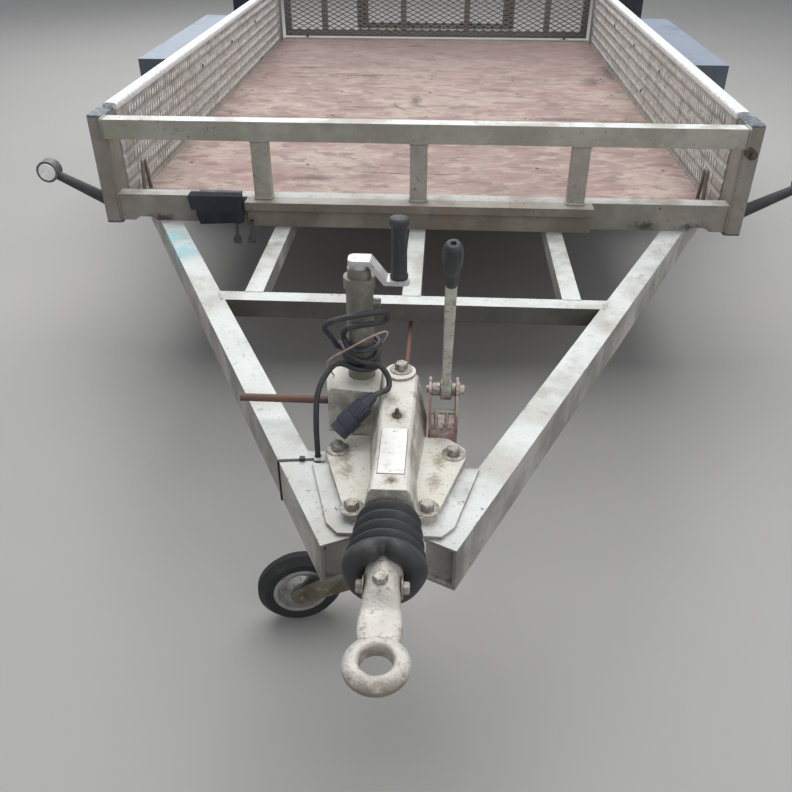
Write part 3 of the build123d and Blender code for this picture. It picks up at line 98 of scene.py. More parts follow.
class Finish:
    """A finish built up in layers: a base colour, then wear, dirt and relief over it."""

    def __init__(self, name, colour, rough, metal=0.0, edge=0.0):
        self.material = bpy.data.materials.new(name)
        self.material.use_nodes = True
        self.tree = self.material.node_tree
        self.surface = self.tree.nodes["Principled BSDF"]
        self.surface.inputs["Base Color"].default_value = (*colour, 1)
        self.surface.inputs["Roughness"].default_value = rough
        self.surface.inputs["Metallic"].default_value = metal
        self.place = self.add("ShaderNodeTexCoord", {})["Object"]
        if edge:
            round_edge = self.add("ShaderNodeBevel", {"Radius": edge}, samples=4)
            self.tree.links.new(round_edge["Normal"], self.surface.inputs["Normal"])

    def add(self, kind, inputs, **settings):
        return add_node(self.tree, kind, inputs, **settings)

    def spread(self, stretch, shift):
        """The place on the piece, drawn out along the axes and shifted."""
        scale = [1 / s for s in stretch]
        offset = (shift, shift * 0.7, shift * 1.3)
        node = self.add("ShaderNodeMapping", {"Vector": self.place, "Scale": scale, "Location": offset})
        return node["Vector"]

    def step(self, value, low, high):
        """A smooth mask, empty at low and full at high."""
        return self.add("ShaderNodeMapRange", {"Value": value, "From Min": low, "From Max": high},
                        interpolation_type="SMOOTHSTEP")["Result"]

    def patches(self, size, low, high, stretch=(1, 1, 1), detail=4.0, shift=0.0):
        """A mask of blotches about size metres across."""
        noise = self.add("ShaderNodeTexNoise", {"Scale": 1 / size, "Detail": detail, "Roughness": 0.58,
                                                "Vector": self.spread(stretch, shift)})
        return self.step(noise["Fac"], low, high)

    def crystals(self, size, stretch=(1, 1, 1)):
        """A mask with one even random value in each crystal."""
        cells = self.add("ShaderNodeTexVoronoi", {"Scale": 1 / size, "Vector": self.spread(stretch, 0.0)})
        return self.step(cells["Color"], 0.0, 1.0)

    def beside(self, centre, reach, ragged=0.5, stretch=(1, 1, 1)):
        """A ragged mask round one place; ragged is the share of the reach that is broken up."""
        away = self.add("ShaderNodeVectorMath", {0: self.place, 1: centre}, operation="SUBTRACT")["Vector"]
        drawn = self.add("ShaderNodeVectorMath", {0: away, 1: stretch}, operation="DIVIDE")["Vector"]
        distance = self.add("ShaderNodeVectorMath", {0: drawn}, operation="LENGTH")["Value"]
        rag = self.patches(reach * 0.4, 0.0, 1.0)
        total = self.add("ShaderNodeMath", {0: rag, 1: reach * ragged * 2, 2: distance},
                         operation="MULTIPLY_ADD")["Value"]
        return self.step(total, reach * (1 + ragged), reach * ragged)

    def both(self, first, second):
        """Where both masks are full."""
        return self.add("ShaderNodeMath", {0: first, 1: second}, operation="MULTIPLY")["Value"]

    def along(self, axis, low, high):
        """A mask by place along one axis of the frame."""
        return self.step(self.add("ShaderNodeSeparateXYZ", {"Vector": self.place})[axis], low, high)

    def upward(self, low=0.3, high=0.9):
        """A mask of the faces that look up."""
        facing = self.add("ShaderNodeTexCoord", {})["Normal"]
        return self.step(self.add("ShaderNodeSeparateXYZ", {"Vector": facing})["Z"], low, high)

    def layer(self, socket, kind, mask, value, share):
        """Mix a value over what the socket has now, by the mask and the share."""
        first, second, out = MIX_SOCKETS[kind]
        target = self.surface.inputs[socket]
        under = target.links[0].from_socket if target.is_linked else target.default_value
        part = self.add("ShaderNodeMath", {0: mask, 1: share}, operation="MULTIPLY")["Value"]
        mixed = self.add("ShaderNodeMix", {0: part, first: under, second: value}, data_type=kind)
        self.tree.links.new(mixed[out], target)

    def paint(self, mask, colour, share=1.0):
        self.layer("Base Color", "RGBA", mask, (*colour, 1), share)

    def spots(self, size, low, high, colour, share=1.0, **pattern):
        """Blotches of another colour."""
        self.paint(self.patches(size, low, high, **pattern), colour, share)

    def dull(self, mask, rough, share=1.0):
        self.layer("Roughness", "FLOAT", mask, rough, share)

    def relief(self, mask, depth):
        """Raise the surface by depth where the mask is full."""
        target = self.surface.inputs["Normal"]
        inputs = {"Distance": depth, "Height": mask}
        if target.is_linked:
            inputs["Normal"] = target.links[0].from_socket
        self.tree.links.new(self.add("ShaderNodeBump", inputs)["Normal"], target)

    def grain(self, size, low, high, depth, **pattern):
        """Unevenness of the surface."""
        self.relief(self.patches(size, low, high, **pattern), depth)


class Shape:
    """Corners and faces of one piece, gathered before its mesh is made."""

    def __init__(self):
        self.corners = []
        self.faces = []

    def loft(self, rings, ends=True, closed=False):
        """Skin over rings of corners, each with as many corners as the next."""
        base = len(self.corners)
        count = len(rings[0])
        for ring in rings:
            self.corners += [tuple(point) for point in ring]
        spans = len(rings) if closed else len(rings) - 1
        for row in range(spans):
            low = base + row * count
            high = base + (row + 1) % len(rings) * count
            for i in range(count):
                j = (i + 1) % count
                self.faces.append((low + i, low + j, high + j, high + i))
        if ends and not closed:
            self.faces.append(tuple(range(base + count - 1, base - 1, -1)))
            last = base + (len(rings) - 1) * count
            self.faces.append(tuple(range(last, last + count)))

    def turned(self, profile, centre, axis, steps=48, closed=False):
        """Rings of (radius, distance along the axis) about a centre."""
        turn = Vector(axis).to_track_quat("Z", "Y").to_matrix()
        rings = []
        for radius, along in profile:
            ring = [circle_point(radius, 2 * math.pi * i / steps, along) for i in range(steps)]
            rings.append([Vector(centre) + turn @ point for point in ring])
        self.loft(rings, closed=closed)

    def block(self, low, high):
        """A box between two corners."""
        ring = [(low[0], low[1]), (high[0], low[1]), (high[0], high[1]), (low[0], high[1])]
        self.loft([[(x, y, z) for x, y in ring] for z in (low[2], high[2])])

    def tube(self, points, radii, steps=10, closed=False):
        """Round section along a line of points."""
        rings = []
        side = None
        for i, point in enumerate(points):
            before = points[i - 1] if i or closed else points[i]
            after = points[(i + 1) % len(points)] if i + 1 < len(points) or closed else points[i]
            run = (Vector(after) - Vector(before)).normalized()
            side = side or run.orthogonal()
            side = (side - run * side.dot(run)).normalized()
            other = run.cross(side)
            radius = radii[i] if isinstance(radii, list) else radii
            ring = []
            for k in range(steps):
                turn = 2 * math.pi * k / steps
                ring.append(Vector(point) + side * math.cos(turn) * radius + other * math.sin(turn) * radius)
            rings.append(ring)
        self.loft(rings, closed=closed)

    def weld(self, start, end, radius=0.004):
        """A run of overlapping weld ripples from one point to another."""
        start, end = Vector(start), Vector(end)
        count = max(4, int((end - start).length / 0.0025))
        points = [start.lerp(end, i / count) for i in range(count + 1)]
        radii = [radius * (0.82 + 0.18 * abs(math.sin(i * math.pi / 2.5))) for i in range(count + 1)]
        radii[0] = radii[-1] = radius * 0.5
        self.tube(points, radii, steps=8)

    def bolt(self, place, axis, flats, washer=True, turn=0.0):
        """A hexagon head, chamfered on top, over a washer."""
        radius = flats / math.sqrt(3)
        height = flats * 0.55
        base = 0.0
        if washer:
            base = flats * 0.12
            self.turned([(flats * 0.95, 0), (flats * 0.95, base * 0.7), (flats * 0.9, base)], place, axis, 24)
        turning = Vector(axis).to_track_quat("Z", "Y").to_matrix()
        rings = []
        for share, along in ((1, 0), (1, height * 0.8), (0.86, height), (0.6, height * 0.97)):
            ring = [circle_point(radius * share, turn + math.pi * i / 3, base + along) for i in range(6)]
            rings.append([Vector(place) + turning @ point for point in ring])
        self.loft(rings)

    def make(self, name, body, finish, smooth=40):
        """The piece as an object that rides on a body; edges under the angle are smooth."""
        mesh = bpy.data.meshes.new(name)
        mesh.from_pydata(self.corners, [], self.faces)
        mesh.validate()
        mesh.shade_flat() if smooth == 0 else mesh.shade_smooth()
        if smooth:
            mesh.set_sharp_from_angle(angle=math.radians(smooth))
        mesh.materials.append(finish.material)
        piece = bpy.data.objects.new(name, mesh)
        bpy.context.scene.collection.objects.link(piece)
        if body:
            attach(piece, body)
        return piece


def circle_point(radius, turn, along):
    return Vector((radius * math.cos(turn), radius * math.sin(turn), along))


def dress(finish, *names):
    """Give CAD pieces their finish."""
    for name in names:
        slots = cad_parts[name].data.materials
        slots.clear()
        slots.append(finish.material)


FLOOR_COLOUR = (0.44, 0.435, 0.425)
FLOOR_SHADE = (0.41, 0.405, 0.395)
FLOOR_REACH = 14
FLOOR_THICK = 0.05

ground = Finish("yard_floor", FLOOR_COLOUR, 0.9)
ground.spots(1.4, 0.3, 0.7, FLOOR_SHADE, 0.6)
yard = Shape()
yard.loft([[(x * FLOOR_REACH, y * FLOOR_REACH, z) for x, y in ((-1, -1), (1, -1), (1, 1), (-1, 1))]
           for z in (-FLOOR_THICK, 0)])
yard.make("yard_floor", None, ground)

SKY_LEVEL = 0.32
SKY_COLOUR = (0.93, 0.95, 1, 1)
SKY_IN_GLOSS = 0.55
# Columns: name, place, what it points at, width and power in watts
LAMPS = (
    ("lamp_above", (0.0, 0.9, 4.6), (0, 0.4, 0.4), 5.0, 235),
    ("lamp_behind", (-1.6, 4.6, 3.4), (0, 0.5, 0.4), 3.0, 60),
    ("lamp_ahead", (2.2, -4.4, 2.6), (0, -1.0, 0.5), 2.4, 40),
)
for name, place, target, size, power in LAMPS:
    light = bpy.data.lights.new(name, "AREA")
    light.size = size
    light.energy = power
    lamp = bpy.data.objects.new(name, light)
    lamp.location = place
    lamp.rotation_euler = (Vector(target) - Vector(place)).to_track_quat("-Z", "Y").to_euler()
    bpy.context.scene.collection.objects.link(lamp)

world = bpy.data.worlds.new("sky")
world.use_nodes = True
bpy.context.scene.world = world
sky = world.node_tree
ray = add_node(sky, "ShaderNodeLightPath", {})
seen = add_node(sky, "ShaderNodeMath", {0: ray["Is Camera Ray"], 1: ray["Is Transmission Ray"]},
                operation="MAXIMUM")["Value"]
seen_or_mirrored = add_node(sky, "ShaderNodeMath", {0: ray["Is Glossy Ray"], 1: SKY_IN_GLOSS, 2: seen},
                            operation="MULTIPLY_ADD")["Value"]
level = add_node(sky, "ShaderNodeMapRange", {"Value": seen_or_mirrored, "To Min": SKY_LEVEL})["Result"]
background = sky.nodes["Background"]
background.inputs["Color"].default_value = SKY_COLOUR
sky.links.new(level, background.inputs["Strength"])


# Drawbar and underframe
# Hot-dip galvanised steel: two folded channels that meet at the nose, a square cross tube, three
# square stringers and flat bearers under the deck, all welded. The zinc has bloomed white on top;
# its tops also carry a painted highlight, and its sides painted shade with dirt.

ZINC = (0.50, 0.495, 0.455)
BLOOM_AND_TOP_HIGHLIGHT = (0.715, 0.75, 0.74)
ROAD_GRIME = (0.235, 0.20, 0.155)
SIDE_SHADE_AND_DIRT = (0.17, 0.15, 0.12)
FINE_SPECKS = (0.13, 0.11, 0.085)
CROSSMEMBER_SHADE = (0.075, 0.068, 0.058)
NOSE_FRONT_SHADE = (0.15, 0.14, 0.12)
SCUFF_BLUE = (0.32, 0.62, 0.68)
SCUFF_PLACES = ((-0.610, -0.105), (-0.555, -0.195))
RAIL_TOP = 0.009
RUST = (0.20, 0.075, 0.035)


def galvanised(name, colour=ZINC, bloom_and_highlight=0.75, grime=0.55, side=0.6):
    """Dull zinc with faint crystals, white bloom and a painted highlight on top, painted shade and dirt on
    its sides, and a little rust.
    """
    zinc = Finish(name, colour, 0.52, metal=0.25, edge=0.0012)
    zinc.paint(zinc.crystals(0.011), [c * 0.84 for c in colour], 0.35)
    # Painted highlight: faces that look up are lightened in patches, together with the zinc's white bloom
    zinc.paint(zinc.both(zinc.upward(), zinc.patches(0.10, 0.34, 0.58, detail=6)), BLOOM_AND_TOP_HIGHLIGHT, bloom_and_highlight)
    # Painted shade: faces that don't look up are darkened in patches, together with some dirt
    zinc.paint(zinc.both(zinc.upward(0.5, 0.1), zinc.patches(0.12, 0.36, 0.60, detail=7, shift=2.0)),
               SIDE_SHADE_AND_DIRT, side)
    zinc.spots(0.16, 0.56, 0.74, ROAD_GRIME, grime, detail=8, shift=3.0)
    zinc.spots(0.020, 0.60, 0.72, ROAD_GRIME, 0.5, detail=6, shift=6.0)
    zinc.spots(0.005, 0.66, 0.74, FINE_SPECKS, 0.6, detail=2)
    rusty_areas = zinc.patches(0.3, 0.48, 0.60, shift=9.0)
    zinc.paint(zinc.both(zinc.patches(0.012, 0.60, 0.7, shift=5.0), rusty_areas), RUST, 0.75)
    zinc.dull(zinc.patches(0.05, 0.4, 0.65), 0.7)
    zinc.grain(0.003, 0.3, 0.7, 0.00025, detail=3)
    zinc.grain(0.03, 0.4, 0.6, 0.0004)
    return zinc


zinc = galvanised("drawbar_zinc")
for x, y in SCUFF_PLACES:
    scuff = zinc.beside(at(x, y, RAIL_TOP), 0.075, 0.45)
    zinc.paint(zinc.both(scuff, zinc.patches(0.014, 0.33, 0.50)), SCUFF_BLUE, 0.85)
# Painted shade: the nose's front faces, those that don't look up, are darkened
nose_front = zinc.along("Y", at(0, -1.130, 0).y, at(0, -1.150, 0).y)
zinc.paint(zinc.both(nose_front, zinc.upward(0.5, 0.1)), NOSE_FRONT_SHADE, 0.6)
frame_zinc = galvanised("underframe_zinc", [c * 0.86 for c in ZINC], bloom_and_highlight=0.35, side=0.3)
dress(zinc, "drawbar_rails", "deck_stringers", "drawbar_plates")
cross_zinc = galvanised("crossmember_zinc")
# Painted shade: the cross tube's faces that don't look up are darkened strongly
cross_zinc.paint(cross_zinc.upward(0.5, 0.1), CROSSMEMBER_SHADE, 0.85)
dress(cross_zinc, "drawbar_crossmember")
dress(frame_zinc, "chassis_rails", "cross_bearers", "side_sills", "rear_sill", "axle_beam", "axle_arms")

STRINGER_PLACES = (-0.341, 0, 0.341)
STRINGER_HALF = 0.020
seams = Shape()
cross_low, cross_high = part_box("drawbar_crossmember")
for side in (-1, 1):
    ends = [(side * (cross_high.x - 0.013), cross_low.y), (side * (cross_high.x + 0.003), cross_high.y)]
    seams.weld((*ends[0], cross_high.z - 0.002), (*ends[1], cross_high.z - 0.002), 0.0045)
    seams.weld((*ends[0], cross_high.z), (*ends[0], cross_low.z), 0.004)
for middle in STRINGER_PLACES:
    seams.weld((middle - STRINGER_HALF, cross_high.y, cross_high.z - 0.001),
               (middle + STRINGER_HALF, cross_high.y, cross_high.z - 0.001), 0.0035)
seams.make("drawbar_welds", "trailer", zinc)

AXLE_BEAM_Y = 1.330
PAD_UNDERSIDE = -0.075
PAD_BOLT_FLATS = 0.017
pad_bolts = Shape()
for side in (-1, 1):
    for y in (-0.062, 0.062):
        for x in (0.722, 0.746):
            pad_bolts.bolt(at(side * x, AXLE_BEAM_Y + y, PAD_UNDERSIDE), (0, 0, -1), PAD_BOLT_FLATS)
pad_bolts.make("axle_pad_bolts", "trailer", zinc)


# Cable tie
# A black nylon strap pulled tight round the right rail holds the cord to it just behind its clip.
# Its moulded head sits on top of the rail.

TIE_Y = -0.980
TIE_WIDTH = 0.005
TIE_SKEW = 0.12
TIE_MIDDLE = -0.155
nylon = Finish("black_nylon", (0.02, 0.02, 0.022), 0.45)
nylon.grain(0.002, 0.4, 0.6, 0.0001)
tie = Shape()
outline = [(-0.128, 0.0105), (-0.183, 0.0105), (-0.1848, 0.0087), (-0.1848, -0.068), (-0.183, -0.070),
           (-0.130, -0.070)]
inner = [(-0.128, 0.0092), (-0.1825, 0.0092), (-0.1833, 0.0084), (-0.1833, -0.0674), (-0.182, -0.0682),
         (-0.130, -0.0682)]
ring = outline + inner[::-1]
tie.loft([[at(x, TIE_Y + shift + (x - TIE_MIDDLE) * TIE_SKEW, z) for x, z in ring]
          for shift in (0, TIE_WIDTH)])
tie.block(at(-0.150, TIE_Y - 0.001, 0.010), at(-0.142, TIE_Y + TIE_WIDTH + 0.001, 0.0155))
tie.make("cable_tie", "trailer", nylon, smooth=20)


# Deck
# Film-faced birch plywood, three sheets screwed to the stringers. The reddish-brown film has worn
# through to pale wood along the middle, with dark damp stains, scratches and a few cracks.

FILM = (0.345, 0.25, 0.23)
PINK_FILM = (0.36, 0.235, 0.225)
BARE_PLY = (0.53, 0.44, 0.38)
SCUFFED = (0.235, 0.17, 0.155)
DAMP = (0.11, 0.085, 0.075)
AGED = (0.23, 0.165, 0.16)
DECK_TOP = 0.027
# Columns: place across and back, reach, and how far it is drawn out along the axes
DAMP_PLACES = (
    (0.76, 1.72, 0.10, (0.5, 2.0, 1)), (0.66, 1.56, 0.06, (1.2, 1.6, 1)), (-0.08, 2.27, 0.04, (1.8, 1, 1)),
    (-0.53, 1.76, 0.05, (2.2, 0.8, 1)), (-0.05, 1.2, 0.05, (0.6, 2.4, 1)), (-0.72, 0.12, 0.06, (1, 1.4, 1)),
    (-0.30, 1.62, 0.05, (5, 0.7, 1)), (0.45, 0.97, 0.04, (5, 0.6, 1)), (-0.56, 0.16, 0.05, (1.6, 1, 1)),
    (-0.30, 0.30, 0.05, (1.8, 0.8, 1)),
)

ply = Finish("worn_plywood", FILM, 0.75)
ply.spots(0.30, 0.42, 0.58, BARE_PLY, 0.55, stretch=(1.2, 1, 1), detail=12)
ply.spots(0.26, 0.50, 0.62, PINK_FILM, 0.7, stretch=(1.2, 1, 1), detail=12, shift=11.0)
ply.spots(0.045, 0.50, 0.60, BARE_PLY, 0.5, stretch=(1.8, 1, 1), detail=12, shift=2.0)
ply.spots(0.055, 0.53, 0.61, SCUFFED, 0.65, stretch=(1.6, 1, 1), detail=12, shift=7.0)
ply.spots(0.010, 0.55, 0.64, SCUFFED, 0.5, stretch=(3, 1, 1), detail=8, shift=4.0)
ply.paint(ply.along("Y", rail_front + 1.1, rail_front + 2.3), AGED, 0.62)
ply.spots(0.014, 0.66, 0.72, DAMP, 0.7, stretch=(2, 1, 1), detail=6, shift=1.0)
for x, y, reach, stretch in DAMP_PLACES:
    ply.paint(ply.beside(at(x, y, DECK_TOP), reach, 0.6, stretch), DAMP, 0.75)
ply.dull(ply.patches(0.08, 0.4, 0.6, detail=5), 0.9)
ply.grain(0.005, 0.35, 0.7, 0.0006, stretch=(16, 1, 1), detail=4)
ply.grain(0.055, 0.53, 0.61, -0.0008, stretch=(1.6, 1, 1), detail=12, shift=7.0)
dress(ply, "floor_sheets")

SCREW_ROWS = (0.075, 0.42, 0.80, 0.925, 0.975, 1.33, 1.555, 1.605, 2.02, 2.40)
SCREW_COLUMNS = (-0.70, *STRINGER_PLACES, 0.70)
SCREW_HEAD = ((0.0052, 0), (0.0048, 0.0006), (0.0028, 0.0006), (0.0022, 0.0001))
SCREW_STRAY = 0.004
screws = Shape()
for y in SCREW_ROWS:
    for x in SCREW_COLUMNS:
        stray = SCREW_STRAY * math.sin(9 * x + 5 * y)
        screws.turned(SCREW_HEAD, at(x + stray, y, DECK_TOP + 0.0002), (0, 0, 1), 12)
rusty = Finish("rusty_screws", RUST, 0.8, metal=0.3)
rusty.spots(0.004, 0.4, 0.6, (0.09, 0.06, 0.05))
screws.make("deck_screws", "trailer", rusty)

cracks = Shape()
gap = Finish("deck_crack", (0.06, 0.045, 0.04), 0.95)
gap.spots(0.01, 0.4, 0.6, (0.11, 0.08, 0.07))
# Each line is a crack in the top ply, by places across and back
CRACKS = (
    ((-0.13, 1.20), (-0.125, 1.14), (-0.11, 1.10), (-0.085, 1.065), (-0.075, 1.06)),
    ((-0.76, 1.66), (-0.60, 1.655), (-0.42, 1.648), (-0.20, 1.640)),
    ((-0.31, 1.10), (-0.20, 1.095), (-0.05, 1.09)),
    ((0.30, 0.72), (0.47, 0.715), (0.60, 0.712)),
    ((-0.20, 0.36), (-0.10, 0.352), (0.08, 0.35)),
)
CRACK_HALF = 0.0022
for line in CRACKS:
    steps = []
    for a, b in zip(line, line[1:]):
        steps += [(a[0] + (b[0] - a[0]) * k / 5, a[1] + (b[1] - a[1]) * k / 5) for k in range(5)]
    steps.append(line[-1])
    count = len(steps)
    rings = []
    for i, (x, y) in enumerate(steps):
        half = CRACK_HALF * math.sin(math.pi * (i + 0.3) / (count + 0.6)) * (0.8 + 0.5 * math.sin(i * 2.3))
        y += 0.003 * math.sin(i * 1.7)
        low, high = DECK_TOP + 0.0001, DECK_TOP + 0.0004
        rings.append([at(x - half, y - half, low), at(x - half, y - half, high),
                      at(x + half, y + half, high), at(x + half, y + half, low)])
    cracks.loft(rings)
cracks.make("deck_cracks", "trailer", gap)


# Side walls
# Rolled alloy planks with seven ribs, a rounded cap along the top painted bright as a highlight and
# rows of small raised tread lugs, all leaning one way and painted lighter as a highlight. The band
# beside each post is left smooth.

ALLOY = (0.54, 0.535, 0.505)
CAP_HIGHLIGHT = (0.92, 0.94, 0.94)
CAP_SPECKS = (0.40, 0.42, 0.42)
WALL_STAIN = (0.52, 0.46, 0.38)
WALL_DIRT = (0.22, 0.195, 0.165)
WALL_FOOT_DIRT = (0.25, 0.205, 0.16)
WALL_RIBS = 7
WALL_HEIGHT = 0.262
LUG_PITCH = 0.0218
LUG_LENGTH = 0.027
LUG_WIDTH = 0.0095
LUG_HEIGHT = 0.0020
LUG_LEAN = math.radians(62)
SMOOTH_BAND = 0.075

alloy = Finish("wall_alloy", ALLOY, 0.6, metal=0.15, edge=0.001)
alloy.spots(0.22, 0.50, 0.68, WALL_STAIN, 0.55, detail=7)
alloy.spots(0.05, 0.46, 0.66, WALL_DIRT, 0.55, stretch=(1, 1, 3), detail=9, shift=3.0)
alloy.paint(alloy.along("Z", post_foot + 0.09, post_foot), WALL_FOOT_DIRT, 0.55)
alloy.spots(0.008, 0.56, 0.68, WALL_DIRT, 0.5, detail=4)
# Painted highlight: the top cap is painted near white, with darker specks of dirt over it
wall_cap = alloy.along("Z", post_foot + WALL_HEIGHT, post_foot + WALL_HEIGHT + 0.006)
alloy.paint(wall_cap, CAP_HIGHLIGHT, 0.9)
alloy.paint(alloy.both(wall_cap, alloy.patches(0.006, 0.48, 0.58)), CAP_SPECKS, 0.6)
alloy.dull(alloy.patches(0.03, 0.4, 0.6), 0.7)
alloy.grain(0.004, 0.3, 0.7, 0.0002)
dress(alloy, "side_wall_left", "side_wall_right")

# Painted highlight: the raised lugs are the wall's alloy made lighter
lug_alloy_highlight = Finish("wall_tread", (0.76, 0.755, 0.73), 0.45, metal=0.2)
lug_alloy_highlight.spots(0.03, 0.45, 0.62, WALL_DIRT, 0.45, detail=8)
wall_low, wall_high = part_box("side_wall_left")


def tread_lug(shape, side, y, z, lean):
    """One low drop-shaped dome on the wall's inner face, broader at its foot."""
    face = side * wall_low.x
    base = []
    crest = []
    for i in range(8):
        turn = 2 * math.pi * i / 8
        along = LUG_LENGTH / 2 * math.cos(turn)
        across = LUG_WIDTH / 2 * math.sin(turn) * (1 - 0.3 * math.cos(turn))
        dy = along * math.cos(lean) - across * math.sin(lean)
        dz = along * math.sin(lean) + across * math.cos(lean)
        base.append((face + side * 0.0004, y + dy, z + dz))
        crest.append((face - side * LUG_HEIGHT, y + dy * 0.6, z + dz * 0.55))
    shape.loft([base, crest])


for side, word in ((1, "left"), (-1, "right")):
    tread = Shape()
    for rib in range(WALL_RIBS):
        z = post_foot + (rib + 0.5) * WALL_HEIGHT / WALL_RIBS
        count = int((wall_high.y - wall_low.y - 2 * SMOOTH_BAND) / LUG_PITCH)
        for i in range(count + rib % 2):
            y = wall_low.y + SMOOTH_BAND + (i + 0.5 - 0.5 * (rib % 2)) * LUG_PITCH
            tread_lug(tread, side, y, z, LUG_LEAN)
    tread.make("wall_tread_" + word, "trailer", lug_alloy_highlight)

# Columns: side, place back and place up
WALL_BOLTS = (
    (1, 0.89, 0.207), (1, 1.33, 0.207), (1, 1.77, 0.207), (1, 1.11, 0.095),
    (-1, 0.89, 0.207), (-1, 1.33, 0.207), (-1, 1.77, 0.207), (-1, 1.85, 0.047),
)
WALL_INNER_FACE = 0.7655
WALL_BOLT_FLATS = 0.010
studs = Shape()
for side, y, z in WALL_BOLTS:
    studs.bolt(at(side * WALL_INNER_FACE, y, z), (-side, 0, 0), WALL_BOLT_FLATS)
stud_steel = Finish("dark_stud_steel", (0.10, 0.09, 0.08), 0.6, metal=0.6)
stud_steel.spots(0.004, 0.45, 0.6, RUST, 0.6)
studs.make("wall_bolts", "trailer", stud_steel)


# Front frame and corner posts
# Galvanised box posts and rails, dirtier than the drawbar, with plastic caps driven into the ends
# of the posts. The rails are welded between the posts and the uprights between the rails.

FRAME_ZINC = (0.35, 0.33, 0.295)
LADDER_ZINC = (0.47, 0.45, 0.395)
STEP_ZINC = (0.30, 0.265, 0.215)
RAIL_FOOT_DARK = (0.045, 0.040, 0.035)
HOLE_SHADE = (0.02, 0.02, 0.02)
# Columns: place across and up, reach, and how far it is drawn out along the axes
RAIL_FOOT_PATCHES = (
    (0.57, 0.020, 0.030, (1.6, 1, 0.6)), (0.69, 0.018, 0.040, (1.5, 1, 0.5)),
    (-0.66, 0.016, 0.035, (1.4, 1, 0.5)),
)

post_zinc = galvanised("front_frame_zinc", FRAME_ZINC, bloom_and_highlight=0.55, grime=0.55, side=0.45)
post_zinc.paint(post_zinc.both(post_zinc.patches(0.05, 0.4, 0.6, stretch=(1, 1, 4)),
                               post_zinc.along("Z", post_foot + 0.10, post_foot)), ROAD_GRIME, 0.7)
dress(post_zinc, "front_posts", "rear_posts")
rail_zinc = galvanised("bottom_rail_zinc", FRAME_ZINC, bloom_and_highlight=0.5, grime=0.6, side=0.45)
# Darker patches along the foot of the bottom rail
for x, z, reach, stretch in RAIL_FOOT_PATCHES:
    rail_zinc.paint(rail_zinc.beside(at(x, 0, z), reach, 0.6, stretch), RAIL_FOOT_DARK, 0.85)
# Painted shade: a dark spot stands in for the open hole in the rail
rail_zinc.paint(rail_zinc.beside(at(0.600, 0, 0.067), 0.0045, 0.15), HOLE_SHADE)
dress(rail_zinc, "front_bottom_rail")
# The painted highlight is at full strength on the tops of the ladder's rails and uprights
ladder_zinc = galvanised("ladder_zinc", LADDER_ZINC, bloom_and_highlight=1.0, grime=0.4, side=0.35)
dress(ladder_zinc, "front_uprights", "front_top_rail")
step_zinc = galvanised("step_zinc", STEP_ZINC, bloom_and_highlight=0.25, grime=0.9, side=0.7)
dress(step_zinc, "front_channel")
caps = Finish("cap_plastic", (0.09, 0.10, 0.125), 0.42)
caps.spots(0.012, 0.48, 0.64, (0.36, 0.39, 0.44), 0.6, detail=8)
caps.grain(0.0015, 0.4, 0.6, 0.00012)
dress(caps, "post_caps")

UPRIGHT_PLACES = (-0.388, 0, 0.388)
UPRIGHT_HALF = 0.021
UPRIGHT_WELD = 0.003
POST_WELD = 0.0035
BOTTOM_RAIL_HEIGHTS = (0.012, 0.077)
seams = Shape()
top_low, top_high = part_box("front_top_rail")
bar_low, bar_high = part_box("front_uprights")
for x in UPRIGHT_PLACES:
    left, right = x - UPRIGHT_HALF, x + UPRIGHT_HALF
    for z, lift in ((bar_high.z, -0.001), (bar_low.z, 0.002)):
        for y in (bar_low.y, bar_high.y):
            seams.weld((left, y, z + lift), (right, y, z + lift), UPRIGHT_WELD)
        for edge in (left, right):
            seams.weld((edge, bar_low.y, z + lift), (edge, bar_high.y, z + lift), UPRIGHT_WELD)
rail_foot, rail_head = [post_foot + height for height in BOTTOM_RAIL_HEIGHTS]
for side in (-1, 1):
    x = side * top_high.x
    seams.weld((x, top_low.y, top_low.z), (x, top_low.y, top_high.z), POST_WELD)
    seams.weld((x, top_low.y, top_high.z), (x, top_high.y, top_high.z), POST_WELD)
    seams.weld((x, rail_front, rail_foot), (x, rail_front, rail_head), POST_WELD)
seams.make("front_frame_welds", "trailer", post_zinc)

BOLT_WASHER = ((0.012, 0), (0.012, 0.0015), (0.0115, 0.002))
POST_BOLT_FLATS = 0.013
bolts = Shape()
bright = Finish("plated_bolt", (0.38, 0.37, 0.33), 0.5, metal=0.45)
bright.spots(0.007, 0.42, 0.60, (0.20, 0.165, 0.12), 0.75, detail=7)
bright.spots(0.004, 0.56, 0.64, (0.55, 0.54, 0.49), 0.6, detail=5, shift=3.0)
bolts.turned(BOLT_WASHER, at(0.783, -0.0005, 0.210), (0, -1, 0), 24)
bolts.bolt(at(0.792, 0, 0.203), (0, -1, 0), POST_BOLT_FLATS)
bolts.make("post_bolt", "trailer", stud_steel)


# Lashing rings
# Forged steel rings, galvanised, in saddles fixed in the front corners of the deck. They are dark
# with wear and old rust.

ring_steel = galvanised("lashing_zinc", (0.24, 0.215, 0.18), bloom_and_highlight=0.1, grime=0.8)
dress(ring_steel, "lashing_points")


# Moulded box
# Black moulded plastic screwed to the front rail, with a lid flap that overlaps it lower down. Two
# grey straps with flat tabs hang from a small block beside it.

plastic = Finish("moulded_black", (0.012, 0.015, 0.025), 0.36)
plastic.spots(0.03, 0.50, 0.68, (0.045, 0.048, 0.060), 0.45, detail=9)
plastic.dull(plastic.patches(0.02, 0.4, 0.6), 0.55)
plastic.grain(0.0015, 0.35, 0.65, 0.00015)
dress(plastic, "moulded_box")
strap_grey = Finish("strap_grey", (0.055, 0.058, 0.065), 0.5)
strap_grey.spots(0.006, 0.45, 0.62, (0.13, 0.13, 0.135), 0.6, detail=6)
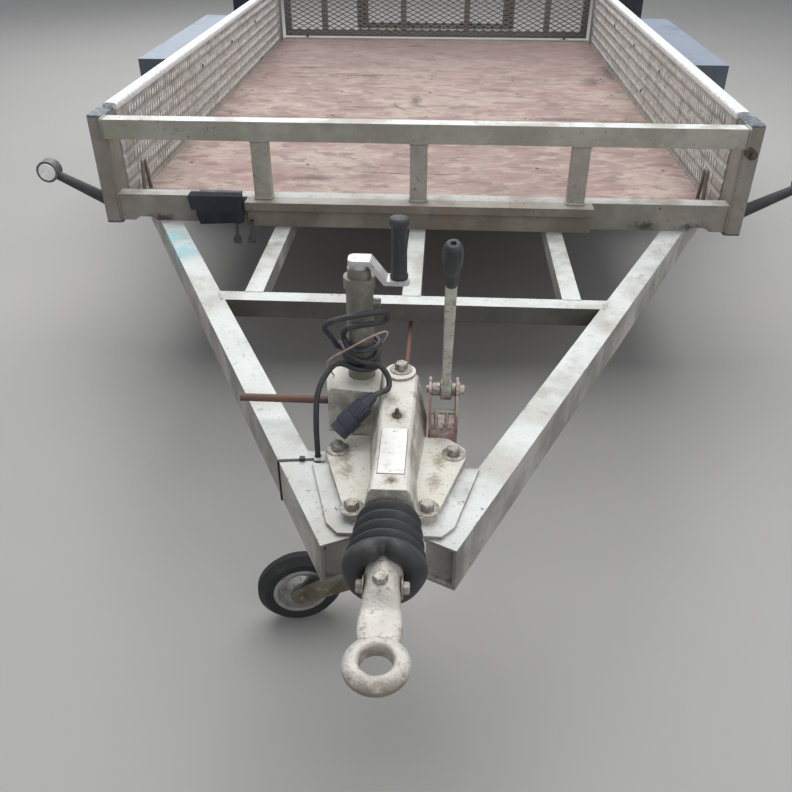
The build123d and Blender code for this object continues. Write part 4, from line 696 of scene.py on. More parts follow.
# Columns: middle, lower end and upper end of each strap
STRAPS = ((-0.459, -0.012, 0.021), (-0.421, -0.010, 0.026))
STRAP_HALF = 0.004
STRAP_THICK = 0.0015
TAB_THICK = 0.003
straps = Shape()


def strip(shape, middle, thick, rows):
    """A flat strip down the middle, by rows of half-width, place back and place up."""
    rings = []
    for half, y, z in rows:
        left, right = middle - half, middle + half
        rings.append([at(left, y, z), at(right, y, z), at(right, y + thick, z), at(left, y + thick, z)])
    shape.loft(rings)


for x, low, high in STRAPS:
    strip(straps, x, STRAP_THICK, ((STRAP_HALF, -0.032, high), (STRAP_HALF, -0.036, (low + high) / 2),
                                   (STRAP_HALF, -0.040, low)))
    strip(straps, x, TAB_THICK, ((0.0045, -0.0405, low + 0.002), (0.0100, -0.0410, low - 0.004),
                                 (0.0105, -0.0420, low - 0.016), (0.0070, -0.0420, low - 0.021)))
straps.block(at(-0.426, -0.0350, 0.020), at(-0.416, -0.0005, 0.026))
straps.make("box_straps", "trailer", strap_grey, smooth=20)


# Marker lamps
# Round white reflex lamps on tapered rubber arms that are bolted to the front posts. The lens is
# clear plastic with concentric ridges in a grey bezel.

rubber = Finish("soft_black_rubber", (0.034, 0.035, 0.038), 0.55)
rubber.spots(0.03, 0.5, 0.72, (0.10, 0.095, 0.09), 0.55, detail=6)
rubber.grain(0.002, 0.35, 0.65, 0.00015)
dress(rubber, "marker_arms")
bezel = Finish("grey_bezel", (0.11, 0.11, 0.115), 0.5, edge=0.001)
bezel.spots(0.008, 0.45, 0.62, (0.24, 0.24, 0.24), 0.7, detail=6)
dress(bezel, "marker_housings")
lens_plastic = Finish("clear_lens", (1.0, 1.0, 0.98), 0.2)
lens_plastic.surface.inputs["Coat Weight"].default_value = 0.6
lens_plastic.paint(lens_plastic.crystals(0.004), (0.90, 0.90, 0.87), 0.6)
lens_plastic.relief(lens_plastic.crystals(0.004), 0.0004)
LENS_RADIUS = 0.0215
LENS_RIDGES = 5
RIDGE_PITCH = 0.004
lens_low, lens_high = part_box("marker_lenses")
for side, word in ((1, "left"), (-1, "right")):
    lens = Shape()
    profile = [(0.0213, 0.0065), (0.0213, 0.0015)]
    for ridge in range(LENS_RIDGES):
        radius = 0.0205 - ridge * RIDGE_PITCH
        profile += [(radius, 0.0004), (radius - 0.0012, -0.0002), (radius - 0.0028, 0.0009)]
    profile += [(0.0006, -0.0002)]
    middle_x = side * (lens_high.x - LENS_RADIUS)
    centre = Vector((middle_x, lens_low.y + 0.0005, (lens_low.z + lens_high.z) / 2))
    lens.turned(profile, centre, (0, 1, 0), 40)
    piece = lens.make("marker_lens_" + word, "trailer", lens_plastic)
    if side == 1:
        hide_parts("marker_lenses")


# Coupling casting
# Spheroidal iron, galvanised: a bolted flange, a tapered hump over the draw tube and a clamp for the
# jockey wheel, with painted shade on its sides. A blank alloy plate is riveted on top, with a painted
# shadow line round its edge, and a grease nipple.

CAST_ZINC = (0.76, 0.735, 0.66)
CAST_PALE = (0.80, 0.79, 0.73)
CAST_STAIN = (0.44, 0.40, 0.31)
CAST_SIDE_SHADE = (0.20, 0.18, 0.14)
CAST_SPECKS = (0.28, 0.235, 0.16)
OILY_RUST = (0.17, 0.10, 0.065)
WING_DIRT = (0.27, 0.22, 0.14)
# Columns: place across and back, reach and strength of each oily stain
HUMP_STAINS = (
    (0.002, -1.118, 0.020, 0.5), (0.002, -1.118, 0.010, 0.9), (0.001, -0.966, 0.022, 0.75),
    (0.030, -0.905, 0.014, 0.7), (-0.010, -0.925, 0.018, 0.6),
)
WING_STAINS = ((-0.078, -0.985), (-0.070, -1.02), (0.066, -0.99), (0.060, -1.04))
HUMP_TOP = 0.092
WING_TOP = 0.027

cast = Finish("cast_zinc", CAST_ZINC, 0.6, metal=0.15, edge=0.003)
cast.spots(0.05, 0.42, 0.60, CAST_PALE, 0.8, detail=10)
cast.spots(0.045, 0.54, 0.66, CAST_STAIN, 0.42, detail=12, shift=3.0)
# Painted shade: the casting's faces that don't look up are darkened in patches
side_shade_patches = cast.patches(0.04, 0.36, 0.56, detail=9, shift=8.0)
cast.paint(cast.both(cast.upward(0.6, 0.1), side_shade_patches), CAST_SIDE_SHADE, 0.6)
cast.spots(0.005, 0.60, 0.70, CAST_SPECKS, 0.6, detail=4)
for x, y, reach, share in HUMP_STAINS:
    cast.paint(cast.beside(at(x, y, HUMP_TOP), reach, 0.5), OILY_RUST, share)
for x, y in WING_STAINS:
    cast.paint(cast.beside(at(x, y, WING_TOP), 0.016, 0.6, (1, 1.8, 1)), WING_DIRT, 0.7)
cast.dull(cast.patches(0.02, 0.4, 0.6), 0.75)
cast.grain(0.0025, 0.3, 0.7, 0.0004, detail=3)
cast.grain(0.02, 0.4, 0.6, 0.0006)
dress(cast, "coupling_housing")

PLATE_HALF = 0.0185
PLATE_ENDS = (-1.104, -1.000)
PLATE_FOOT = 0.0915
PLATE_TOP = 0.0930
EDGE_TOP = 0.0922
EDGE_WIDTH = 0.0012
RIVET_INSET = 0.006
RIVET = ((0.0026, 0), (0.0022, 0.0011), (0.001, 0.0016))
plate = Shape()
blank = Finish("blank_plate", (0.70, 0.70, 0.68), 0.35, metal=0.5)
blank.spots(0.012, 0.52, 0.7, (0.45, 0.45, 0.43), 0.6, detail=6)
# Painted shadow: a dark rim just wider than the plate lies under it as the shadow line round its edge
shadow = Shape()
shadow.block(at(-PLATE_HALF - EDGE_WIDTH, PLATE_ENDS[0] - EDGE_WIDTH, PLATE_FOOT),
             at(PLATE_HALF + EDGE_WIDTH, PLATE_ENDS[1] + EDGE_WIDTH, EDGE_TOP))
plate_shadow_line = Finish("plate_edge", (0.16, 0.145, 0.12), 0.8)
plate_shadow_line.spots(0.006, 0.4, 0.6, (0.30, 0.28, 0.24))
shadow.make("data_plate_edge", "trailer", plate_shadow_line, smooth=20)
plate.block(at(-PLATE_HALF, PLATE_ENDS[0], PLATE_FOOT), at(PLATE_HALF, PLATE_ENDS[1], PLATE_TOP))
for y in (PLATE_ENDS[0] + RIVET_INSET, PLATE_ENDS[1] - RIVET_INSET):
    plate.turned(RIVET, at(0, y, PLATE_TOP - 0.0002), (0, 0, 1), 12)
plate.make("data_plate_blank", "trailer", blank, smooth=20)

NIPPLE = ((0.0075, 0), (0.0075, 0.003), (0.004, 0.004), (0.0035, 0.009), (0.0028, 0.010), (0.0032, 0.012),
          (0.001, 0.014))
nipple = Shape()
nipple.turned(NIPPLE, at(0.001, -0.966, PLATE_FOOT), (0, 0, 1), 16)
dirty_grease = Finish("old_grease", (0.10, 0.085, 0.05), 0.35)
dirty_grease.grain(0.003, 0.4, 0.6, 0.0005)
nipple.make("grease_nipple", "trailer", dirty_grease)

WING_BOLTS = ((-0.091, -0.969), (0.088, -0.972), (-0.055, -1.104), (0.051, -1.100))
WING_BOLT_FLATS = 0.019
fixings = Shape()
for i, (x, y) in enumerate(WING_BOLTS):
    fixings.bolt(at(x, y, WING_TOP), (0, 0, 1), WING_BOLT_FLATS, turn=0.5 * i)
fixings.bolt(at(0.001, -0.840, 0.096), (0, 0, 1), WING_BOLT_FLATS, turn=0.3)
fixings.make("coupling_bolts", "trailer", bright)


# Bellows
# Black moulded rubber over the draw tube: ribs that grow towards the eye, and a wide skirt that
# has slumped over the neck of the eye.

bellows_low, bellows_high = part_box("bellows")
bellows_middle = (bellows_low + bellows_high) / 2
bellows_middle.z = post_foot + 0.040
RIBS = 4
RIB_PITCH = 0.021
FIRST_CREST = 0.0445
CREST_GROWTH = 0.0026
# One rib, as drop below its crest and distance towards the eye
RIB = ((0.0095, 0.0015), (0.0042, 0.0070), (0.0010, 0.0093), (0, 0.0108), (0.0007, 0.0124), (0.0040, 0.0152),
       (0.0088, 0.0195))
SKIRT = ((0.0465, -0.0850), (0.0520, -0.0872), (0.0543, -0.0910), (0.0548, -0.0970), (0.0536, -0.1035),
         (0.0495, -0.1082), (0.0425, -0.1105), (0.0340, -0.1095), (0.0275, -0.1040), (0.0252, -0.0980))
BELLOWS_STEPS = 96
PINCH_DEPTH = 0.0150
FOLD_RISE = 0.0020

profile = [(0.030, 0.0), (0.0355, -0.0008)]
for rib in range(RIBS):
    crest = FIRST_CREST + CREST_GROWTH * rib
    profile += [(crest - drop, -rib * RIB_PITCH - back) for drop, back in RIB]
profile += SKIRT

rings = []
for radius, along in profile:
    slump = max(0, -along - 0.082) / 0.028
    free = max(0, (radius - 0.028) / 0.027)
    ring = []
    for i in range(BELLOWS_STEPS):
        turn = 2 * math.pi * i / BELLOWS_STEPS
        lean = turn - math.pi / 2
        pinch = math.exp(-(lean / 0.20) ** 2)
        fold = math.exp(-((abs(lean) - 0.50) / 0.26) ** 2)
        sag = 0.0016 * math.sin(5 * turn + 0.7) + 0.0012 * math.sin(3 * turn)
        reach = radius + free * slump * (FOLD_RISE * fold - PINCH_DEPTH * pinch + sag)
        ring.append((math.cos(turn) * reach, bellows_high.y + along + slump * 0.010 * pinch,
                     bellows_middle.z + math.sin(turn) * reach * 0.985))
    rings.append(ring)
bellows = Shape()
bellows.loft(rings)
piece = bellows.make("draw_bellows", "trailer", rubber, smooth=60)
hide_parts("bellows")


# Tow eye
# Forged steel, galvanised, with the zinc worn off and rusty in the bore; two cross bolts and one
# from the top hold it in the draw tube.

eye = Finish("forged_eye", (0.60, 0.575, 0.52), 0.5, metal=0.25)
eye.spots(0.03, 0.45, 0.62, (0.72, 0.70, 0.65), 0.7, detail=9)
eye_centre = at(0, -1.370, 0.029)
# Columns: reach round the middle of the eye, its ragged share, colour and strength
EYE_WEAR = (
    (0.046, 0.3, (0.44, 0.40, 0.355), 0.7), (0.029, 0.3, (0.34, 0.23, 0.16), 0.7),
    (0.0225, 0.25, (0.15, 0.08, 0.05), 0.9),
)
for reach, ragged, colour, share in EYE_WEAR:
    eye.paint(eye.beside(eye_centre, reach, ragged), colour, share)
# Painted shade and dirt in patches on the faces of the eye that don't look up
eye_side_shade = eye.both(eye.upward(0.5, 0.0), eye.patches(0.03, 0.36, 0.56, detail=8, shift=2.0))
eye.paint(eye_side_shade, (0.22, 0.17, 0.125), 0.75)
eye.spots(0.012, 0.56, 0.66, (0.25, 0.18, 0.13), 0.6, detail=8, shift=6.0)
ring_front = eye.along("Y", eye_centre.y - 0.012, eye_centre.y - 0.034)
eye.paint(eye.both(ring_front, eye.patches(0.03, 0.30, 0.55, detail=8, shift=5.0)), (0.24, 0.19, 0.15), 0.75)
eye.grain(0.004, 0.3, 0.7, 0.0004)
eye.grain(0.014, 0.35, 0.65, 0.0006, shift=4.0)


def squared(turn, power):
    """A point of a rounded square of half-size 1: a circle at power 2, squarer as it grows."""
    across, up = math.cos(turn), math.sin(turn)
    return (math.copysign(abs(across) ** (2 / power), across),
            math.copysign(abs(up) ** (2 / power), up))


def shank_ring(y, half, low, high, power):
    """Closed section across the shank."""
    ring = []
    for i in range(40):
        across, up = squared(2 * math.pi * i / 40, power)
        ring.append(at(half * across, y, (low + high) / 2 + (high - low) / 2 * up))
    return ring


# Columns: place along the shank, half-width, underside, top and squareness
SHANK = (
    (-1.3465, 0.0215, 0.0195, 0.0385, 4.0), (-1.336, 0.0262, 0.0178, 0.0400, 4.0),
    (-1.318, 0.0276, 0.0170, 0.0408, 4.5), (-1.304, 0.0272, 0.0170, 0.0414, 4.0),
    (-1.297, 0.0258, 0.0168, 0.0440, 3.2), (-1.291, 0.0242, 0.0165, 0.0520, 2.6),
    (-1.286, 0.0236, 0.0165, 0.0600, 2.2), (-1.280, 0.0235, 0.0165, 0.0635, 2.0),
    (-1.252, 0.0235, 0.0165, 0.0635, 2.0), (-1.250, 0.0250, 0.0150, 0.0650, 2.0),
    (-1.139, 0.0250, 0.0150, 0.0650, 2.0),
)
EYE_RADIUS = 0.0400
# Upper half of the eye's section from its bore out, as radius and height
EYE_SECTION = ((0.0200, 0.0080), (0.0222, 0.0112), (0.0250, 0.0120), (0.0285, 0.0119), (0.0330, 0.0105),
               (0.0370, 0.0076), (0.0395, 0.0036))
forging = Shape()
section = [*EYE_SECTION, (EYE_RADIUS, 0), *((radius, -up) for radius, up in reversed(EYE_SECTION))]
forging.turned(section, eye_centre, (0, 0, 1), steps=72, closed=True)
forging.loft([shank_ring(*row) for row in SHANK])
piece = forging.make("forged_tow_eye", "trailer", eye, smooth=50)
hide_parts("tow_eye")
TOP_BOLT_FLATS = 0.017
CROSS_BOLT_FLATS = 0.015
eye_bolts = Shape()
eye_bolts.bolt(at(-0.002, -1.272, 0.0625), (0, 0, 1), TOP_BOLT_FLATS, washer=False, turn=0.2)
for side in (-1, 1):
    eye_bolts.bolt(at(side * 0.0235, -1.264, 0.042), (side, 0, 0), CROSS_BOLT_FLATS, turn=0.1)
eye_bolts.make("eye_bolts", "trailer", bright)


# Jockey wheel
# A zinc-plated steel tube clamped in the casting, with a cranked handle on top. Inside it a screw
# carries the inner tube, a castor fork and a pressed steel wheel with a solid rubber tyre.

plated = Finish("dull_plating", (0.22, 0.215, 0.18), 0.42, metal=0.55, edge=0.001)
plated.spots(0.03, 0.46, 0.65, (0.36, 0.355, 0.31), 0.7, detail=9)
plated.spots(0.025, 0.56, 0.7, (0.17, 0.14, 0.10), 0.7, shift=4.0, detail=7)
plated.grain(0.002, 0.35, 0.65, 0.0002)
dress(plated, "jockey_mast", "jockey_tube")
fork_olive = Finish("fork_plating", (0.21, 0.195, 0.14), 0.45, metal=0.5, edge=0.001)
fork_olive.spots(0.03, 0.42, 0.62, (0.11, 0.09, 0.06), 0.7, detail=9)
fork_olive.spots(0.02, 0.56, 0.66, (0.34, 0.32, 0.25), 0.6, detail=8, shift=3.0)
dress(fork_olive, "jockey_fork")
white_zinc = Finish("bright_crank", (0.62, 0.62, 0.61), 0.4, metal=0.35, edge=0.0015)
white_zinc.spots(0.015, 0.48, 0.62, (0.34, 0.33, 0.30), 0.6, detail=9)
dress(white_zinc, "jockey_crank")
rod_rust = Finish("rusty_rod", (0.15, 0.10, 0.085), 0.65, metal=0.4)
rod_rust.spots(0.02, 0.45, 0.6, (0.24, 0.105, 0.05), 0.8, detail=7)
rod_rust.grain(0.003, 0.35, 0.65, 0.0004)
dress(rod_rust, "jockey_clamp_rod", "brake_rod")
wheel_paint = Finish("jockey_rim_grey", (0.42, 0.42, 0.40), 0.35, metal=0.5, edge=0.001)
wheel_paint.spots(0.02, 0.5, 0.7, (0.12, 0.10, 0.08), 0.6)
dress(wheel_paint, "jockey_rim")
tyre_rubber = Finish("tyre_rubber", (0.014, 0.015, 0.017), 0.7)
tyre_rubber.spots(0.05, 0.52, 0.72, (0.06, 0.052, 0.04), 0.6, detail=9)
tyre_rubber.grain(0.002, 0.35, 0.65, 0.0002)
dress(tyre_rubber, "jockey_tyre")
hard_black = Finish("grip_plastic", (0.032, 0.034, 0.037), 0.5)
hard_black.spots(0.02, 0.5, 0.72, (0.10, 0.10, 0.095), 0.5)
hard_black.grain(0.0015, 0.35, 0.65, 0.00015)

# Columns: radius, distance up the grip and whether it is fluted
CRANK_GRIP = (
    (0.0130, 0.0002, 0), (0.0138, 0.002, 0), (0.0138, 0.0055, 0), (0.0122, 0.0075, 0), (0.0120, 0.013, 0),
    (0.0120, 0.017, 1), (0.0117, 0.045, 1), (0.0120, 0.073, 1), (0.0120, 0.079, 0), (0.0124, 0.082, 0),
    (0.0146, 0.0845, 0), (0.0150, 0.086, 0), (0.0150, 0.0905, 0), (0.0136, 0.0940, 0), (0.0090, 0.0958, 0),
    (0.0010, 0.0958, 0),
)
FLUTES = 8
FLUTE_DEPTH = 0.0022


def fluted(rows, flutes, depth, foot, side, other, line):
    """Rings of a moulded grip that stands on its foot and runs along a line."""
    rings = []
    for radius, along, share in rows:
        ring = []
        for i in range(flutes * 6):
            turn = 2 * math.pi * i / (flutes * 6)
            reach = radius - depth * share * (0.5 - 0.5 * math.cos(flutes * turn))
            ring.append(foot + line * along + side * math.cos(turn) * reach + other * math.sin(turn) * reach)
        rings.append(ring)
    return rings


grip_low, grip_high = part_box("jockey_grip")
grip_foot = Vector(((grip_low.x + grip_high.x) / 2, (grip_low.y + grip_high.y) / 2, grip_low.z))
grip = Shape()
grip.loft(fluted(CRANK_GRIP, FLUTES, FLUTE_DEPTH, grip_foot, Vector((1, 0, 0)), Vector((0, 1, 0)),
                 Vector((0, 0, 1))))
piece = grip.make("crank_grip", "trailer", hard_black, smooth=50)
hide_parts("jockey_grip")


# Handbrake
# A steel lever turns on a pin between two cheek plates that were once painted red and are now faded
# and rusty. A shackle under the pin takes the pull rod, and the lever ends in a moulded grip.

faded = Finish("faded_red_paint", (0.33, 0.20, 0.185), 0.6, metal=0.1)
faded.spots(0.02, 0.42, 0.58, (0.46, 0.42, 0.38), 0.85, detail=9)
faded.spots(0.012, 0.54, 0.64, RUST, 0.8, detail=8, shift=4.0)

CHEEK_Y = (-0.926, -0.850, -0.850, -0.856, -0.870, -0.889, -0.906, -0.918, -0.926)
CHEEK_Z = (0.015, 0.015, 0.070, 0.090, 0.103, 0.108, 0.103, 0.090, 0.070)
INNER_CHEEK = (0.0475, 0.0515)
OUTER_CHEEK = (0.0900, 0.0940)
LEVER_PIN = (-0.889, 0.092)
SHACKLE_PIN = (-0.914, 0.066)
cheeks = Shape()
for low, high in (INNER_CHEEK, OUTER_CHEEK):
    cheeks.loft([[at(x, y, z) for y, z in zip(CHEEK_Y, CHEEK_Z)] for x in (low, high)])
cheeks.block(at(INNER_CHEEK[1], -0.926, 0.015), at(OUTER_CHEEK[0], -0.850, 0.020))
piece = cheeks.make("brake_cheeks", "trailer", faded, smooth=20)
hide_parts("brake_bracket")

# Columns: inner end, outer end and radius of the hub and its collars on the lever's pin
COLLARS = ((0.0515, 0.0655, 0.0105), (0.0655, 0.0825, 0.0165), (0.0825, 0.0900, 0.0105))
CHAMFER = 0.001
SHACKLE = ((0.0595, -0.914, 0.068), (0.0595, -0.921, 0.058), (0.0600, -0.924, 0.046), (0.0630, -0.925, 0.037),
           (0.0680, -0.925, 0.034), (0.0730, -0.925, 0.037), (0.0760, -0.924, 0.046), (0.0765, -0.921, 0.058),
           (0.0765, -0.914, 0.068))
SHACKLE_RADIUS = 0.0032
PIN_NUT_FLATS = 0.014
pins = Shape()
pins.turned([(0.006, -0.0042), (0.006, 0.052)], at(INNER_CHEEK[0], *LEVER_PIN), (1, 0, 0), 16)
pins.bolt(at(OUTER_CHEEK[1], *LEVER_PIN), (1, 0, 0), PIN_NUT_FLATS)
for low, high, radius in COLLARS:
    face, width = radius - CHAMFER, high - low
    pins.turned([(face, 0), (radius, CHAMFER), (radius, width - CHAMFER), (face, width)],
                at(low, *LEVER_PIN), (1, 0, 0), 28)
pins.turned([(0.0045, 0), (0.0045, 0.0385)], at(INNER_CHEEK[1], *SHACKLE_PIN), (1, 0, 0), 14)
pins.tube([at(*point) for point in SHACKLE], SHACKLE_RADIUS, steps=12)
pins.make("brake_pins", "trailer", bright)

LEVER_X = 0.074
LEVER_TOP = (-1.020, 0.398)
# Columns: distance up the lever, half-width and half-thickness
LEVER_SECTIONS = (
    (0.004, 0.0070, 0.0060), (0.030, 0.0068, 0.0052), (0.110, 0.0072, 0.0048), (0.190, 0.0080, 0.0048),
    (0.262, 0.0082, 0.0050),
)
lever_foot = at(LEVER_X, *LEVER_PIN)
lever_line = (at(LEVER_X, *LEVER_TOP) - lever_foot).normalized()
lever_side = Vector((1, 0, 0))
lever_back = lever_line.cross(lever_side)
rings = []
for along, half, thick in LEVER_SECTIONS:
    ring = []
    for i in range(20):
        across, back = squared(2 * math.pi * i / 20, 4)
        ring.append(lever_foot + lever_line * along + lever_side * half * across + lever_back * thick * back)
    rings.append(ring)
lever = Shape()
lever.loft(rings)
lever_zinc = Finish("lever_zinc", (0.50, 0.49, 0.44), 0.5, metal=0.3)
lever_zinc.spots(0.03, 0.44, 0.62, (0.62, 0.61, 0.57), 0.7, detail=10)
lever_zinc.spots(0.012, 0.52, 0.64, (0.25, 0.22, 0.17), 0.7, detail=9, shift=3.0)
piece = lever.make("handbrake_lever", "trailer", lever_zinc, smooth=50)
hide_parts("brake_lever")

GRIP_START = 0.2485
GRIP_FLUTES = 10
GRIP_FLUTE_DEPTH = 0.0007
# Columns: radius, distance up the grip and whether it is fluted
BRAKE_GRIP = (
    (0.0076, 0.000, 0), (0.0086, 0.002, 0), (0.0090, 0.008, 0), (0.0092, 0.018, 1), (0.0100, 0.026, 1),
    (0.0118, 0.034, 1), (0.0133, 0.044, 1), (0.0138, 0.055, 1), (0.0134, 0.064, 0), (0.0118, 0.072, 0),
    (0.0094, 0.0765, 0), (0.0062, 0.0780, 0), (0.0040, 0.0776, 0), (0.0034, 0.0745, 0), (0.0005, 0.0740, 0),
)
brake_grip = Shape()
brake_grip.loft(fluted(BRAKE_GRIP, GRIP_FLUTES, GRIP_FLUTE_DEPTH, lever_foot + lever_line * GRIP_START,
                       lever_side, lever_back, lever_line))
piece = brake_grip.make("handbrake_grip", "trailer", hard_black, smooth=50)
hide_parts("brake_grip")


# Cord and breakaway wire
# One rubber lighting cord comes up from its clip on the nose, is wound round the jockey mast with
# a loop over the mast's lug and ends in a round plug. A thin tarnished wire for the brake lies over
# the turns.

CORD_DIAMETER = 0.009
WIRE_DIAMETER = 0.003
MAST_X, MAST_Y = -0.062, -0.858
CLIP_X, CLIP_Y = -0.1245, -0.958

cord_black = Finish("cord_sheath", (0.030, 0.032, 0.037), 0.5)
cord_black.spots(0.02, 0.5, 0.7, (0.10, 0.10, 0.10), 0.5, detail=5)
cord_black.grain(0.002, 0.35, 0.65, 0.0001)
wire_finish = Finish("tarnished_wire", (0.46, 0.33, 0.26), 0.5, metal=0.4)
wire_finish.spots(0.008, 0.45, 0.6, (0.62, 0.52, 0.46), 0.8)


def wound(start, stop, low, high, radius_start, radius_stop):
    """Points of the cord's turns round the mast, between two angles, heights and radii."""
    count = int(abs(stop - start) / 30)
    points = []
    for i in range(count + 1):
        share = i / count
        turn = math.radians(start + (stop - start) * share)
        radius = radius_start + (radius_stop - radius_start) * share
        radius += 0.0006 * math.sin(i * 1.9)
        height = low + (high - low) * share
        points.append(at(MAST_X + radius * math.cos(turn), MAST_Y + radius * math.sin(turn), height))
    return points


LEAD = ((CLIP_X, CLIP_Y, -0.030), (CLIP_X, CLIP_Y - 0.001, 0.018), (CLIP_X - 0.002, CLIP_Y + 0.012, 0.062),
        (CLIP_X - 0.001, CLIP_Y + 0.036, 0.108), (-0.104, -0.889, 0.132))
# Columns: first and last angle in degrees, first and last height, first and last radius
TURNS_BEFORE_LOOP = (
    (222, 330, 0.131, 0.1175, 0.037, 0.0285), (360, 1080, 0.1175, 0.1365, 0.0275, 0.0275),
    (1110, 1279, 0.140, 0.150, 0.031, 0.037),
)
TURNS_AFTER_LOOP = ((236, 571, 0.157, 0.152, 0.029, 0.031), (601, 686, 0.150, 0.128, 0.0365, 0.0372))
LOOP = ((-0.104, -0.884, 0.178), (-0.119, -0.891, 0.200), (-0.094, -0.897, 0.216), (-0.058, -0.898, 0.2245),
        (-0.037, -0.892, 0.2262), (-0.0240, -0.887, 0.2258), (-0.0172, -0.883, 0.2200),
        (-0.0172, -0.880, 0.2110), (-0.0240, -0.880, 0.2050), (-0.037, -0.883, 0.2035),
        (-0.058, -0.888, 0.2020), (-0.084, -0.885, 0.194), (-0.089, -0.872, 0.172))
TAIL = ((-0.016, -0.890, 0.114), (-0.014, -0.908, 0.100), (-0.030, -0.924, 0.104), (-0.038, -0.930, 0.102))


def cord_curve(name, points, diameter, finish, replaced):
    """A smooth cord along its route."""
    curve = bpy.data.curves.new(name, "CURVE")
    curve.dimensions = "3D"
    line = curve.splines.new("NURBS")
    line.points.add(len(points) - 1)
    for control, point in zip(line.points, points):
        control.co = (*point, 1)
    line.order_u = 3
    line.use_endpoint_u = True
    line.resolution_u = 10
    curve.materials.append(finish.material)
    piece = bpy.data.objects.new(name, curve)
    bpy.context.scene.collection.objects.link(piece)
    path = bpy.data.meshes.new_from_object(piece)
    bpy.data.meshes.remove(path)
    curve.bevel_depth = diameter / 2
    curve.bevel_resolution = 4
    curve.use_fill_caps = True
    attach(piece, "trailer")
    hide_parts(*replaced)
    return piece


# Columns: radius, distance along the plug and whether it is ridged
PLUG_ROWS = (
    (0.0060, -0.004, 0), (0.0075, 0.000, 0), (0.0085, 0.004, 0), (0.0095, 0.012, 0), (0.0110, 0.0165, 0),
    (0.0148, 0.0185, 1), (0.0150, 0.0200, 1), (0.0150, 0.0400, 1), (0.0146, 0.0420, 0), (0.0158, 0.0430, 0),
    (0.0178, 0.0445, 0), (0.0180, 0.0610, 0), (0.0176, 0.0625, 0), (0.0160, 0.0635, 0), (0.0160, 0.0770, 0),
    (0.0154, 0.0778, 0), (0.0140, 0.0778, 0), (0.0136, 0.0700, 0), (0.0010, 0.0700, 0),
)
PLUG_END = (-0.092, -0.962, 0.052)
PLUG_STEPS = 72
PLUG_FLOOR = 0.0700
RIDGE_HEIGHT = 0.0008
PLUG_PINS = 7
PIN_CIRCLE = 0.008
PLUG_PIN = ((0.0014, 0), (0.0014, 0.006), (0.0008, 0.007))
plug_start = at(*TAIL[-1])
plug_line = (at(*PLUG_END) - plug_start).normalized()
plug = Shape()
rings = []
turning = plug_line.to_track_quat("Z", "Y").to_matrix()
for radius, along, ridged in PLUG_ROWS:
    ring = []
    for i in range(PLUG_STEPS):
        turn = 2 * math.pi * i / PLUG_STEPS
        ridge = RIDGE_HEIGHT * ridged * (1 if i % 6 < 3 else -0.2)
        ring.append(plug_start + turning @ circle_point(radius + ridge, turn, along))
    rings.append(ring)
plug.loft(rings)
for i in range(PLUG_PINS):
    spot = plug_start + turning @ circle_point(PIN_CIRCLE, 2 * math.pi * i / PLUG_PINS, PLUG_FLOOR)
    plug.turned(PLUG_PIN, spot, plug_line, 8)
plug_plastic = Finish("plug_plastic", (0.034, 0.040, 0.056), 0.42)
plug_plastic.spots(0.02, 0.5, 0.7, (0.08, 0.09, 0.11), 0.6)
plug_plastic.grain(0.0015, 0.35, 0.65, 0.00012)
plug_piece = plug.make("cord_plug_body", "trailer", plug_plastic, smooth=30)
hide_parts("cord_plug")

route = [at(*point) for point in LEAD]
for turns in TURNS_BEFORE_LOOP:
    route += wound(*turns)
route += [at(*point) for point in LOOP]
for turns in TURNS_AFTER_LOOP:
    route += wound(*turns)
route += [at(*point) for point in TAIL]
cord_curve("lighting_cord", route, CORD_DIAMETER, cord_black,
           ("cord_lead", "cord_loop", "cord_coil", "cord_tail"))

WIRE = ((-0.106, -0.868, 0.099), (-0.116, -0.880, 0.122), (-0.110, -0.890, 0.142), (-0.076, -0.902, 0.169),
        (-0.046, -0.898, 0.187), (-0.024, -0.886, 0.192), (-0.016, -0.872, 0.182), (-0.028, -0.860, 0.158))
cord_curve("breakaway_cable", [at(*point) for point in WIRE], WIRE_DIAMETER, wire_finish,
           ("breakaway_wire",))


# Road wheels and mudguards
# Painted pressed rims on iron drums, tyres with four ribs of blocks, and slate-blue mudguards
# folded from sheet, their paint darkened as painted shade and their tops lightened in patches as a
# painted highlight.

drum_iron = Finish("drum_iron", (0.13, 0.10, 0.085), 0.8, metal=0.3, edge=0.002)
drum_iron.spots(0.03, 0.45, 0.65, RUST, 0.7, detail=7)
drum_iron.grain(0.004, 0.35, 0.65, 0.0004)
dress(drum_iron, "hub_left", "hub_right")
rim_paint = Finish("rim_silver_paint", (0.50, 0.50, 0.50), 0.4, metal=0.4, edge=0.001)
rim_paint.spots(0.03, 0.52, 0.72, (0.20, 0.16, 0.12), 0.7, detail=7)
dress(rim_paint, "rim_left", "rim_right")

TREAD_RIBS = ((-0.060, -0.0335), (-0.0285, -0.0025), (0.0025, 0.0285), (0.0335, 0.060))
TREAD_BLOCKS = 64
GROOVE_RADIUS = 0.2825
TREAD_RADIUS = 0.2898
# Outer and inner sides of half the carcass, as radius and distance from its middle
HALF_CARCASS = (
    (0.1655, 0.0570), (0.1790, 0.0600), (0.1860, 0.0655), (0.1990, 0.0715), (0.2010, 0.0740),
    (0.2040, 0.0740), (0.2190, 0.0830), (0.2300, 0.0868), (0.2450, 0.0872), (0.2580, 0.0850),
    (0.2690, 0.0800), (0.2765, 0.0725), (0.2815, 0.0630), (GROOVE_RADIUS, 0.0500),
)
HALF_INSIDE = ((0.1655, 0.0460), (0.2260, 0.0740), (0.2680, 0.0480))
carcass = [*HALF_CARCASS, *((r, -x) for r, x in reversed(HALF_CARCASS))]
carcass += [*((r, -x) for r, x in HALF_INSIDE), *reversed(HALF_INSIDE)]
